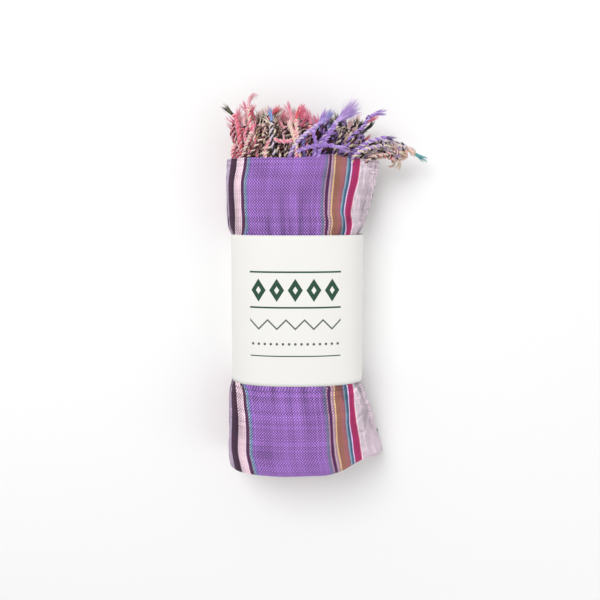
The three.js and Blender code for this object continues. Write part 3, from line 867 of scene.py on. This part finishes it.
def makeBand():
    columns, rows = bandLook["columns"] + 1, bandLook["rows"] + 1
    turn = 360 + band["outerLapAngle"] - band["innerLapAngle"]
    crease = bandLook["crease"]
    bm = bmesh.new()
    grid = gridOfVerts(bm, columns, rows)
    for column in range(columns):
        angle = band["innerLapAngle"] + turn * column / (columns - 1)
        ramp = clamped((angle - band["outerLapAngle"]) / band["lapRamp"])
        lift = band["lapDepth"] * (1 - ramp)
        share = min(1, abs(angle - 360 if angle > 180 else angle) / band["bulgeAngle"])
        bulge = band["rightBulge"] * cos(share * pi / 2) ** 2
        for row in range(rows):
            y = mixed(band["topEdge"], band["bottomEdge"], row / (rows - 1))
            wave = 0
            if crease["from"] < angle < crease["to"]:
                place = Vector((angle / crease["across"], y / crease["along"], 4))
                wave = max(0, noise.noise(place) * crease["height"])
            depth = lift - band["gap"] - band["wall"] - bulge - wave
            grid[column][row].co = rollPoint(angle, y, depth, lift - girthAt(y)[2])
    lengths = runningLengths([line[rows // 2].co for line in grid])
    # the print is centred on the top of the roll
    onTop = [column for column in range(columns) if grid[column][0].co.z > roll["height"] / 2]
    topColumn = min(onTop, key=lambda column: abs(grid[column][0].co.x))
    middle = (band["topEdge"] + band["bottomEdge"]) / 2
    places = {}
    for line, length in zip(grid, lengths):
        for vert in line:
            places[vert] = (lengths[topColumn] - length, vert.co.y - middle)
    writePlaces(bm, "strip", places)
    piece = finishPiece(bm, "paperBand", makePaper(), "band_paper", "paper_band")
    giveThickness(piece, band["paper"])
    print("paper band", round(lengths[-1]), "mm long")


makeBand()


# Fringe: two plies twisted together, a knot, and a frayed end
yarnPaints = {
    "cream": (240, 222, 200), "ink": (30, 22, 30), "blush": (246, 190, 200), "rose": (238, 128, 160),
    "coral": (230, 100, 112), "wine": (92, 24, 46), "violet": (164, 124, 208), "lilac": (204, 172, 234),
    "sky": (136, 160, 216), "teal": (96, 172, 176), "olive": (96, 98, 60), "sand": (216, 180, 128),
    "brown": (128, 84, 62), "pearl": (222, 204, 226),
}
yarn = {
    "plyRadius": 0.84, "plyOffset": 0.72, "pitch": 4.6, "sides": 6, "stepsPerTurn": 8,
    "ownTwist": 3.6, "fleckShare": 0.35, "grainStretch": 0.35, "darkest": 0.62, "shadeReach": 0.76,
}
knot = {
    "radius": 1.15, "tube": 0.78, "steps": 9, "tilts": (-38, 34), "apart": 0.5, "below": 0.4, "grain": 0.9,
}
fray = {
    "length": 10, "shortest": 0.72, "lengthReach": 0.36, "above": 0.8, "grainStretch": 0.3,
    "footSpread": 0.35, "spread": 1.5, "leastSpread": 0.25, "spreadPower": 1.5,
    "wave": 0.8, "waveTurns": 5, "turn": 2.4, "turnReach": 1.5, "swellFrom": 0.15, "swellReach": 0.8,
    "lock": {"sides": 5, "cuts": 4, "radius": 0.72, "spreadReach": 0.55},
    "hair": {"sides": 3, "cuts": 3, "radius": 0.19, "spreadReach": 0.95},
}


def makeYarnMaterial():
    material, tree, shader = newMaterial("twistedCottonYarn", 0.9, sheen=0.3, sheenRoughness=0.5)
    along = readAttribute(tree, "alongYarn", "Vector")
    # each ply is spun from two colours, which wind round it
    axes = addNode(tree, "ShaderNodeSeparateXYZ", Vector=along).outputs
    around = maths(tree, "ARCTAN2", axes[1], axes[0])
    spun = maths(tree, "SINE", maths(tree, "ADD", around, maths(tree, "MULTIPLY", axes[2], yarn["ownTwist"])))
    isFleck = maths(tree, "GREATER_THAN", spun, yarn["fleckShare"])
    dyed = mixColours(tree, isFleck, *[readAttribute(tree, name, "Color") for name in ("dye", "fleck")])
    grain = addNode(tree, "ShaderNodeTexNoise", Vector=along, Scale=2.4, Detail=3.0, Roughness=0.6).outputs[0]
    lift = maths(tree, "ADD", yarn["darkest"], maths(tree, "MULTIPLY", grain, yarn["shadeReach"]))
    shaded = shadeColour(tree, dyed, lift)
    handled = placeGroup(tree, handlingGroup, Colour=shaded, Amount=0.3, Scale=160.0)["Colour"]
    tree.links.new(handled, shader.inputs["Base Color"])
    bump = addNode(tree, "ShaderNodeBump", Strength=0.7, Distance=0.0002, Height=grain)
    tree.links.new(bump.outputs[0], shader.inputs["Normal"])
    return material


def makeLock(name):  # one unit high, one unit in radius at its foot
    bm = bmesh.new()
    bmesh.ops.create_cone(
        bm, cap_ends=True, segments=fray[name]["sides"], radius1=1, radius2=0.2, depth=1,
        matrix=Matrix.Translation((0, 0, 0.5)),
    )
    longEdges = [edge for edge in bm.edges if abs(edge.verts[0].co.z - edge.verts[1].co.z) > 0.5]
    bmesh.ops.subdivide_edges(bm, edges=longEdges, cuts=fray[name]["cuts"], use_grid_fill=True)
    bmesh.ops.recalc_face_normals(bm, faces=bm.faces)
    return keepMesh(bm, name)


def makeKnot():
    place = Matrix.Translation((knot["radius"], 0, 0)) @ Matrix.Rotation(pi / 2, 4, "X")
    bm = bmesh.new()
    bmesh.ops.create_circle(bm, segments=yarn["sides"], radius=knot["tube"], matrix=place)
    spinAbout(bm, bm.verts[:] + bm.edges[:], 2 * pi, knot["steps"], merge=True)
    bmesh.ops.recalc_face_normals(bm, faces=bm.faces)
    return keepMesh(bm, "knot")


frayMeshes = {name: makeLock(name) for name in ("lock", "hair")}
knotMesh = makeKnot()


def makeStrandTemplate(name, length, fluff, locks, hairs, seed, fan=1):
    # a straight strand along +Z, from its root to the tip of its frayed end
    bm = bmesh.new()
    plyLayer = bm.verts.layers.int.new("ply")
    alongLayer = bm.verts.layers.float_vector.new("alongYarn")
    turnsTaken = length / yarn["pitch"]
    steps = round(turnsTaken * yarn["stepsPerTurn"])
    for ply in (0, 1):
        foot = Matrix.Translation((yarn["plyOffset"] * (1 if ply else -1), 0, 0))
        start = len(bm.verts)
        ring = bmesh.ops.create_circle(bm, segments=yarn["sides"], radius=yarn["plyRadius"], matrix=foot)
        edges = list({edge for vert in ring["verts"] for edge in vert.link_edges})
        spinAbout(bm, ring["verts"] + edges, 2 * pi * turnsTaken, steps, length / steps)
        bm.verts.ensure_lookup_table()
        for vert in bm.verts[start:]:
            vert[plyLayer] = ply
            turn = 2 * pi * vert.co.z / yarn["pitch"] + (0 if ply else pi)
            middle = Vector((cos(turn), sin(turn), 0)) * yarn["plyOffset"]
            around = atan2(vert.co.y - middle.y, vert.co.x - middle.x) - turn
            vert[alongLayer] = (cos(around), sin(around), vert.co.z * yarn["grainStretch"] + 40 * ply)
    closeHoles(bm, yarn["sides"])
    # the knot: two turns of the strand laid across each other
    ropeEnd = length - knot["below"]
    for number, tilt in enumerate(knot["tilts"]):
        rise = Matrix.Translation((0, 0, ropeEnd + knot["apart"] * number))
        turned = rise @ Matrix.Rotation(radians(tilt), 4, "X")
        for vert in addCopy(bm, knotMesh):
            vert.co = turned @ vert.co
            vert[plyLayer] = number
            vert[alongLayer] = vert.co * knot["grain"]
    # the frayed end, a few locks among single hairs
    foot = Vector((0, 0, ropeEnd + fray["above"]))
    for number in range(locks + hairs):
        kind = "lock" if number < locks else "hair"
        turn = fray["turn"] * number + scatter(number + seed) * fray["turnReach"]
        way = Vector((cos(turn), sin(turn), 0))
        aside = Vector((-way.y, way.x, 0))
        reach = fray["length"] * fluff * (fray["shortest"] + fray["lengthReach"] * scatter(number + 5 + seed))
        radius = fray[kind]["radius"] * fluff**0.5
        spreadShare = fray["leastSpread"] + fray[kind]["spreadReach"] * scatter(number + 9 + seed)
        spread = fray["spread"] * fluff**2 * fan * spreadShare
        for vert in addCopy(bm, frayMeshes[kind]):
            share = clamped(vert.co.z)
            swell = radius * sin(pi * min(1, share * fray["swellReach"] + fray["swellFrom"])) ** 0.5
            wave = sin(share * fray["waveTurns"] + number) * fray["wave"] * share
            bent = way * (fray["footSpread"] + spread * share ** fray["spreadPower"]) + aside * wave
            vert.co = foot + Vector((vert.co.x * swell, vert.co.y * swell, share * reach)) + bent
            vert[plyLayer] = 2 + number % 2
            vert[alongLayer] = (vert.co.x, vert.co.y, vert.co.z * fray["grainStretch"])
    bmesh.ops.recalc_face_normals(bm, faces=bm.faces)
    mesh = keepMesh(bm, name)
    return {"mesh": mesh, "length": max(vert.co.z for vert in mesh.vertices)}


# length, fullness of the frayed end, its locks, its hairs, and a number that picks how they lie
templates = [
    makeStrandTemplate("shortStrand", 22, 0.7, 6, 6, 1),
    makeStrandTemplate("middleStrand", 29, 0.8, 7, 8, 30),
    makeStrandTemplate("middleStrandFrayed", 30, 1.1, 7, 14, 60),
    makeStrandTemplate("longStrand", 42, 1.3, 8, 26, 90),
]
bigTassel = makeStrandTemplate("bigTassel", 30, 1.75, 16, 150, 120, 1.5)


def smoothPath(points, count):  # equal steps along a soft curve through the points
    spanSteps = 12
    padded = [points[0] * 2 - points[1], *points, points[-1] * 2 - points[-2]]
    fine = []
    for first, second, third, fourth in zip(padded, padded[1:], padded[2:], padded[3:]):
        for step in range(spanSteps):
            t = step / spanSteps
            fine.append(
                0.5 * (2 * second + (third - first) * t + (2 * first - 5 * second + 4 * third - fourth) * t**2
                       + (3 * second - first - 3 * third + fourth) * t**3)
            )
    fine.append(points[-1])
    lengths = runningLengths(fine)
    path, number = [], 1
    for step in range(count + 1):
        wanted = lengths[-1] * step / count
        while number < len(fine) - 1 and lengths[number] < wanted:
            number += 1
        share = (wanted - lengths[number - 1]) / max(lengths[number] - lengths[number - 1], 1e-9)
        path.append(fine[number - 1].lerp(fine[number], min(1, share)))
    return path, lengths[-1]


laid = {  # lowest is for the middle of a strand, floor for its surface
    "steps": 40, "lowest": 1.1, "floor": 0.15, "lengthSpread": 3, "turns": 6,
    "waveGrowth": 1.6, "sideWaves": (7, 6), "upWaves": (8, 4), "upShare": 0.7,
}


def layStrand(bm, layers, points, dyes, seed, wave, template=None):
    steps = laid["steps"]
    path, length = smoothPath(points, steps)
    if template is None:
        wanted = length + spreadOut(seed, laid["lengthSpread"])
        template = min(templates, key=lambda one: abs(one["length"] - wanted))
    # small waves that grow from the root
    sideWaves = laid["sideWaves"][0] + laid["sideWaves"][1] * scatter(seed + 3)
    upWaves = laid["upWaves"][0] + laid["upWaves"][1] * scatter(seed + 8)
    for step, point in enumerate(path):
        share = step / steps
        grown = wave * smoothShare(share * laid["waveGrowth"])
        point.x += grown * sin(share * sideWaves + laid["turns"] * scatter(seed))
        lifted = grown * sin(share * upWaves + laid["turns"] * scatter(seed + 2))
        point.z = max(laid["lowest"], point.z + laid["upShare"] * lifted)
    forward = []
    for step in range(steps + 1):
        forward.append((path[min(step + 1, steps)] - path[max(step - 1, 0)]).normalized())
    side = forward[0].orthogonal().normalized()
    sides = []
    for way in forward:
        side = (side - way * side.dot(way)).normalized()
        sides.append(side)
    ply, dye, fleck = layers
    spin = laid["turns"] * scatter(seed + 4)
    turnCos, turnSin = cos(spin), sin(spin)
    colours = [paint(*yarnPaints[name]) for name in dyes.split()]
    for vert in addCopy(bm, template["mesh"]):
        place = clamped(vert.co.z / template["length"]) * steps
        step = min(int(place), steps - 1)
        share = place - step
        way = forward[step].lerp(forward[step + 1], share)
        across = sides[step].lerp(sides[step + 1], share)
        x = vert.co.x * turnCos - vert.co.y * turnSin
        y = vert.co.x * turnSin + vert.co.y * turnCos
        vert.co = path[step].lerp(path[step + 1], share) + across * x + way.cross(across) * y
        vert.co.z = max(laid["floor"], vert.co.z)
        vert[dye] = colours[vert[ply]]
        vert[fleck] = colours[4] if vert[ply] < 2 else vert[dye]


# A row's draw picks the lengths of its strands
fringeRows = [
    {"name": "outerFringe", "nodes": ["fringe_outer_row"], "turn": 0, "from": -4, "to": 318,
     "strands": 34, "length": 35, "draw": 0, "fillers": True},
    {"name": "secondFringe", "nodes": [], "turn": 1, "from": -14, "to": 318,
     "strands": 28, "length": 33, "draw": 3, "fillers": True},
    {"name": "middleFringe", "nodes": ["fringe_middle_row"], "turn": 2, "from": -24, "to": 318,
     "strands": 24, "length": 34, "draw": 1, "fillers": True},
    {"name": "fourthFringe", "nodes": [], "turn": 3, "from": -20, "to": 318,
     "strands": 17, "length": 31, "draw": 3, "fillers": False},
    {"name": "innerFringe", "nodes": ["fringe_inner_row"], "turn": 4, "from": -16, "to": 318,
     "strands": 13, "length": 32, "draw": 2, "fillers": False},
]
lie = {
    "lean": 3, "leanPerWidth": 0.16, "spillLean": 60, "spillFrom": 15, "spillWidth": 43, "startShare": 0.45,
    "waveLean": 3, "waveAcross": 0.1, "waveUp": 0.17, "lowestTip": 3.6, "keptHeight": 0.8, "lowestRoot": 6,
    "sagPower": 1.6, "lengthSpread": 0.18, "lead": 7, "front": 106.1, "back": 104.3, "inside": 101,
}
waves = {"leading": 0.3, "row": 2.2, "filler": 3, "crossing": 0.6}
filler = {  # shorter strands between those of a row
    "seed": 55, "sunk": 1.2, "spillFrom": 30, "spillWidth": 15, "length": 0.92, "lengthSpread": 0.2,
    "spillCut": 0.45, "lean": 24, "spillLean": 16, "lift": 3,
}
tasselPlace = 9  # the leading strand that ends in the big tassel
leadingStrands = {  # by their place in the outer row: points passed after the root
    0: [(66, 114, 21), (79, 118, 23), (87, 115.5, 20), (96, 111, 16)],
    1: [(60, 114, 28), (66, 120, 27), (73, 119, 24), (80, 113, 20)],
    2: [(61, 113.5, 34), (66, 113, 34), (73, 109.5, 29)],
    3: [(53, 115, 41), (60, 121, 40), (67, 121, 35), (72, 114, 30)],
    4: [(48, 116, 46), (55, 123, 46), (61, 121, 42), (66, 114, 38)],
    5: [(42, 117, 49), (50, 121.5, 51), (61, 124.6, 46), (70.5, 124, 38)],
    6: [(34, 116.5, 53), (37, 123.6, 55), (46, 131.5, 50), (52, 139.5, 45), (64, 143, 39)],
    9: [(17, 121, 54.5), (28, 134, 56), (34, 139.5, 51), (43.5, 147.5, 46)],
    10: [(6, 123.5, 56), (15.5, 132.6, 55), (21.5, 138, 52), (26.5, 143, 48)],
    11: [(2, 115, 58), (9, 117.3, 60.5), (18, 118.5, 61), (28.5, 117.5, 60), (38, 115, 57)],
    15: [(-28, 126, 50), (-31, 138, 46), (-32, 148, 43), (-29, 153.5, 43), (-25, 151, 43)],
    17: [(-38, 124.5, 46), (-40, 137.5, 43), (-44, 142, 41), (-50.5, 148, 36)],
}
# The colours of each strand's two plies, of the two halves of its frayed end, and of the flecks in its plies
leadingDyes = {
    0: "blush sand teal teal cream", 1: "cream pearl blush cream ink", 2: "cream coral cream blush ink",
    3: "cream ink cream blush pearl", 4: "pearl ink cream lilac cream", 5: "violet pearl ink violet violet",
    6: "violet lilac lilac violet ink", 9: "violet lilac lilac lilac pearl",
    10: "violet lilac sky lilac sky", 11: "violet lilac lilac violet violet",
    15: "blush rose blush blush cream", 17: "coral rose olive ink blush",
}
marls = [
    "ink cream cream ink blush", "cream ink blush cream wine",
    "ink blush ink cream cream", "cream brown cream ink ink",
]
# The other strands' colours, by how far across the roll their tips lie
zones = [
    (-38, "coral blush rose blush wine", "blush ink blush pearl cream", "blush rose blush cream cream"),
    (-28, *marls[:2], "blush cream rose blush rose", "ink blush blush pearl cream"),
    (-18, *marls[:3], "ink cream sky sky cream", "cream sand coral rose ink"),
    (-8, *marls[1:], "cream ink rose blush coral", "cream blush coral coral ink"),
    (3, marls[0], "wine ink coral coral cream", "blush cream rose blush ink"),
    (14, "wine ink rose rose blush", "coral cream rose blush wine", marls[1]),
    (26, "violet lilac sky lilac violet", "ink wine lilac violet violet", "ink wine lilac sky ink"),
    (42, "ink wine ink olive violet", "ink cream ink olive cream", marls[0], "violet ink lilac violet lilac"),
    (58, *marls[:2], "cream blush rose coral ink", "ink pearl ink ink violet"),
    (200, marls[1], "blush cream rose blush ink", "cream pearl cream cream ink",
     "cream pearl sand cream ink"),
]


def leanAt(x, z):
    spill = max(0, (x - lie["spillFrom"]) / lie["spillWidth"]) ** 2
    wave = lie["waveLean"] * sin(lie["waveAcross"] * x + lie["waveUp"] * z)
    return radians(lie["lean"] + lie["leanPerWidth"] * x + lie["spillLean"] * spill + wave)


def freePoints(start, length, extraLean=0, lift=0):
    lean = leanAt(start.x, start.z) + extraLean
    turn = lean if abs(lean) > 0.01 else 0.01
    first = turn * lie["startShare"]
    tip = lie["lowestTip"] + max(0, lie["keptHeight"] * (start.z - lie["lowestRoot"])) + lift
    points = []
    for share in (0.15, 0.35, 0.55, 0.78, 1):
        points.append(Vector((
            start.x + length * (cos(first) - cos(first + turn * share)) / turn,
            start.y + length * (sin(first + turn * share) - sin(first)) / turn,
            start.z - (start.z - tip) * share ** lie["sagPower"],
        )))
    return points


# How long the strands are for where their roots lie across the roll, as shares of their row's length
reach = [
    (-42, 0.86), (-34, 0.9), (-24, 1), (-12, 0.95), (-4, 0.9), (4, 0.98), (12, 0.84), (26, 0.84), (36, 1),
]


def rootPoint(row, angle, y, sunk=0):
    pointAt = leafPoint if row["turn"] == 0 else rollPoint
    return pointAt(angle, y, ridgeDepth(angle, row["turn"]) + sunk)


def rowAngles(row, shift=0):  # angles of evenly spaced roots along a row
    steps = 180
    angles = [mixed(row["from"], row["to"], step / steps) for step in range(steps + 1)]
    lengths = runningLengths([rootPoint(row, angle, lie["front"]) for angle in angles])
    table = list(zip(lengths, angles))
    count = row["strands"]
    return [between(table, lengths[-1] * (place + 0.5 + shift) / count) for place in range(count)]


def rootPoints(row, angle, sunk=0):
    inside, back, front = [rootPoint(row, angle, lie[name], sunk) for name in ("inside", "back", "front")]
    return [inside, front, front + (front - back).normalized() * lie["lead"]]


def dyesFor(tip, seed):
    _, *choices = next(zone for zone in zones if tip.x < zone[0])
    return choices[int(scatter(seed + 17) * len(choices))]


def startFringe():
    bm = bmesh.new()
    layers = bm.verts.layers
    layers.int.new("ply")
    layers.float_vector.new("alongYarn")
    for name in ("dye", "fleck"):
        layers.float_color.new(name)
    return bm, (layers.int["ply"], layers.float_color["dye"], layers.float_color["fleck"])


yarnMaterial = makeYarnMaterial()


def makeFringeRow(row):
    bm, layers = startFringe()
    places = list(enumerate(rowAngles(row)))
    for place, angle in places:
        seed = 100 * row["turn"] + place
        points = rootPoints(row, angle)
        if row["turn"] == 0 and place in leadingStrands:
            points += [Vector(point) for point in leadingStrands[place]]
            template = bigTassel if place == tasselPlace else None
            layStrand(bm, layers, points, leadingDyes[place], seed, waves["leading"], template)
            continue
        length = row["length"] * (1 + spreadOut(place + 50 * row["draw"], lie["lengthSpread"]))
        points += freePoints(points[-1], length * between(reach, points[0].x))
        layStrand(bm, layers, points, dyesFor(points[-1], seed), seed, waves["row"])
    fillers = list(enumerate(rowAngles(row, 0.5)[:-1])) if row["fillers"] else []
    for place, angle in fillers:
        seed = 100 * row["turn"] + place + filler["seed"]
        points = rootPoints(row, angle, spreadOut(seed, filler["sunk"]))
        spilled = smoothShare((points[0].x - filler["spillFrom"]) / filler["spillWidth"])
        length = row["length"] * (filler["length"] + spreadOut(seed + 1, filler["lengthSpread"]))
        length *= 1 - filler["spillCut"] * spilled
        lean = radians(spreadOut(seed + 2, filler["lean"]) + filler["spillLean"] * spilled)
        lift = spreadOut(seed + 6, filler["lift"])
        points += freePoints(points[-1], length * between(reach, points[0].x), lean, lift)
        layStrand(bm, layers, points, dyesFor(points[-1], seed), seed, waves["filler"])
    piece = finishPiece(bm, row["name"], yarnMaterial, "twisted_yarn", *row["nodes"])
    print(row["name"], len(places) + len(fillers), "strands,", len(piece.data.polygons), "faces")
    return piece


fringePieces = [makeFringeRow(row) for row in fringeRows]

# Ropes that lie across the pile where the photograph shows them: points in millimetres, and colours as above
crossingStrands = [
    ([(-20, 104, 52), (-20, 113, 56), (-16, 122, 58), (-7, 121, 59), (0, 124, 58), (-3, 132, 56),
      (0, 139, 53)],
     "cream blush blush cream rose"),
    ([(2, 104, 53), (3, 113, 56), (0, 119, 58.5), (-2, 128, 58), (-3, 134, 56), (-1, 141, 53)],
     "blush cream rose blush cream"),
    ([(-6, 104, 53), (-3, 114, 57), (2, 121, 59), (9, 128, 58), (18, 134, 55), (24, 139, 52)],
     "violet pearl violet lilac lilac"),
    ([(13, 104, 53), (13, 114, 57), (13, 121, 59), (13, 129, 58), (18, 134, 54)],
     "violet lilac violet violet violet"),
    ([(15, 104, 53), (16, 114, 57), (20, 122, 58.5), (27, 132, 56), (32, 139, 52)],
     "lilac violet violet lilac violet"),
    ([(-40, 104, 42), (-36, 112, 48), (-32, 121, 51), (-29, 129, 50), (-28, 137, 47)],
     "ink cream blush rose blush"),
    ([(-36, 104, 46), (-31, 112, 51), (-25, 120, 54), (-18, 128, 55), (-14, 137, 52)],
     "cream ink ink cream wine"),
    ([(-28, 104, 50), (-22, 112, 55), (-16, 118, 57), (-13, 127, 57), (-19, 135, 54), (-24, 140, 50)],
     "ink cream cream ink cream"),
    ([(36, 104, 47), (41, 113, 51), (51, 118, 49), (62, 120, 43), (70, 118, 36)],
     "ink cream ink cream lilac"),
    ([(46, 104, 38), (52, 112, 43), (62, 114, 40), (73, 116, 33), (80, 113, 27)],
     "cream blush cream sand ink"),
    # tufts that stand up at the back
    ([(-15, 104, 50), (-14, 113, 57), (-15, 122, 59), (-16, 132, 57), (-17, 145, 51)],
     "cream ink sky sky pearl"),
    ([(0, 104, 53), (1, 113, 57), (1, 124, 58), (1, 134, 56), (4, 146, 51)],
     "cream rose coral coral blush"),
    # the tangle on the right
    ([(44, 104, 34), (47, 112, 36), (56, 118, 38), (68, 121, 34), (78, 119, 28), (79, 113, 26),
      (72, 114, 30)],
     "cream pearl cream blush ink"),
    ([(47, 104, 28), (50, 112, 30), (60, 117, 33), (69, 122, 30), (77, 121, 26), (79, 114, 24),
      (72, 111, 26)],
     "cream ink blush cream pearl"),
    ([(50, 104, 22), (53, 112, 23), (62, 117, 27), (73, 120, 26), (83, 119, 21), (84, 113, 19)],
     "pearl cream cream pearl sand"),
    ([(52, 104, 18), (55, 111, 18), (62, 114, 22), (69, 112, 22), (71, 107.5, 19), (66, 106.5, 17)],
     "blush sand cream blush cream"),
    ([(49, 104, 25), (52, 112, 26), (60, 116, 30), (68, 114, 29), (74, 109, 25), (72, 104, 19)],
     "cream olive cream sand ink"),
    ([(40, 104, 40), (43, 112, 42), (52, 120, 44), (62, 121, 40), (64, 115, 38), (58, 113, 41)],
     "ink cream ink cream pearl"),
    ([(45, 104, 33), (48, 112, 35), (58, 121, 39), (70, 122, 33), (74, 116, 29), (67, 113, 32)],
     "pearl violet lilac pearl cream"),
]


def makeCrossingFringe():
    bm, layers = startFringe()
    for seed, (points, dyes) in enumerate(crossingStrands, 900):
        layStrand(bm, layers, [Vector(point) for point in points], dyes, seed, waves["crossing"])
    piece = finishPiece(bm, "crossingFringe", yarnMaterial, "twisted_yarn")
    print("crossingFringe", len(crossingStrands), "strands")
    return piece


fringePieces.append(makeCrossingFringe())
for mesh in [knotMesh, *frayMeshes.values(), *[template["mesh"] for template in [*templates, bigTassel]]]:
    bpy.data.meshes.remove(mesh)


# Floor, light and camera
def makeStage():
    material, tree, shader = newMaterial("paleFloor", 0.7)
    clouds = addNode(tree, "ShaderNodeTexNoise", Vector=objectPlace(tree), Scale=3.0, Detail=2.0).outputs[0]
    white = mixColours(tree, clouds, paint(255, 255, 255), paint(252, 252, 252))
    tree.links.new(white, shader.inputs["Base Color"])
    bm = bmesh.new()
    bmesh.ops.create_grid(bm, x_segments=2, y_segments=2, size=3)
    bmesh.ops.translate(bm, vec=(0, 0, -0.0002), verts=bm.verts)
    mesh = keepMesh(bm, "floor")
    mesh.materials.append(material)
    placeObject("floor", mesh)


def addLamp(name, place, aim, size, power):
    lamp = bpy.data.lights.new(name, "AREA")
    lamp.shape = "DISK"
    lamp.size = size
    lamp.energy = power
    stand = placeObject(name, lamp)
    stand.location = place
    stand.rotation_euler = (Vector(aim) - Vector(place)).to_track_quat("-Z", "Y").to_euler()


def makeLight():
    world = bpy.data.worlds.new("studio")
    world.use_nodes = True
    background = world.node_tree.nodes["Background"]
    background.inputs["Color"].default_value = (1, 1, 1, 1)
    background.inputs["Strength"].default_value = 0.55
    bpy.context.scene.world = world
    addLamp("keySoftbox", (-0.5, 0.75, 1.3), (0, 0, 0.02), 0.9, 12)
    addLamp("fillSoftbox", (0.9, -0.3, 1.0), (0, 0, 0.02), 1.0, 3.2)


def makeCamera():
    view = bpy.data.cameras.new("camera")
    view.lens = 42.84
    view.sensor_width = 36
    view.clip_start = 0.02
    stand = placeObject("camera", view)
    stand.location = (0.0033, 0.0766, 0.543)
    stand.rotation_euler = (-radians(7.27), 0, 0)
    bpy.context.scene.camera = stand


makeStage()
makeLight()
makeCamera()
bpy.context.scene.view_settings.view_transform = "Standard"
print("stage, light and camera")
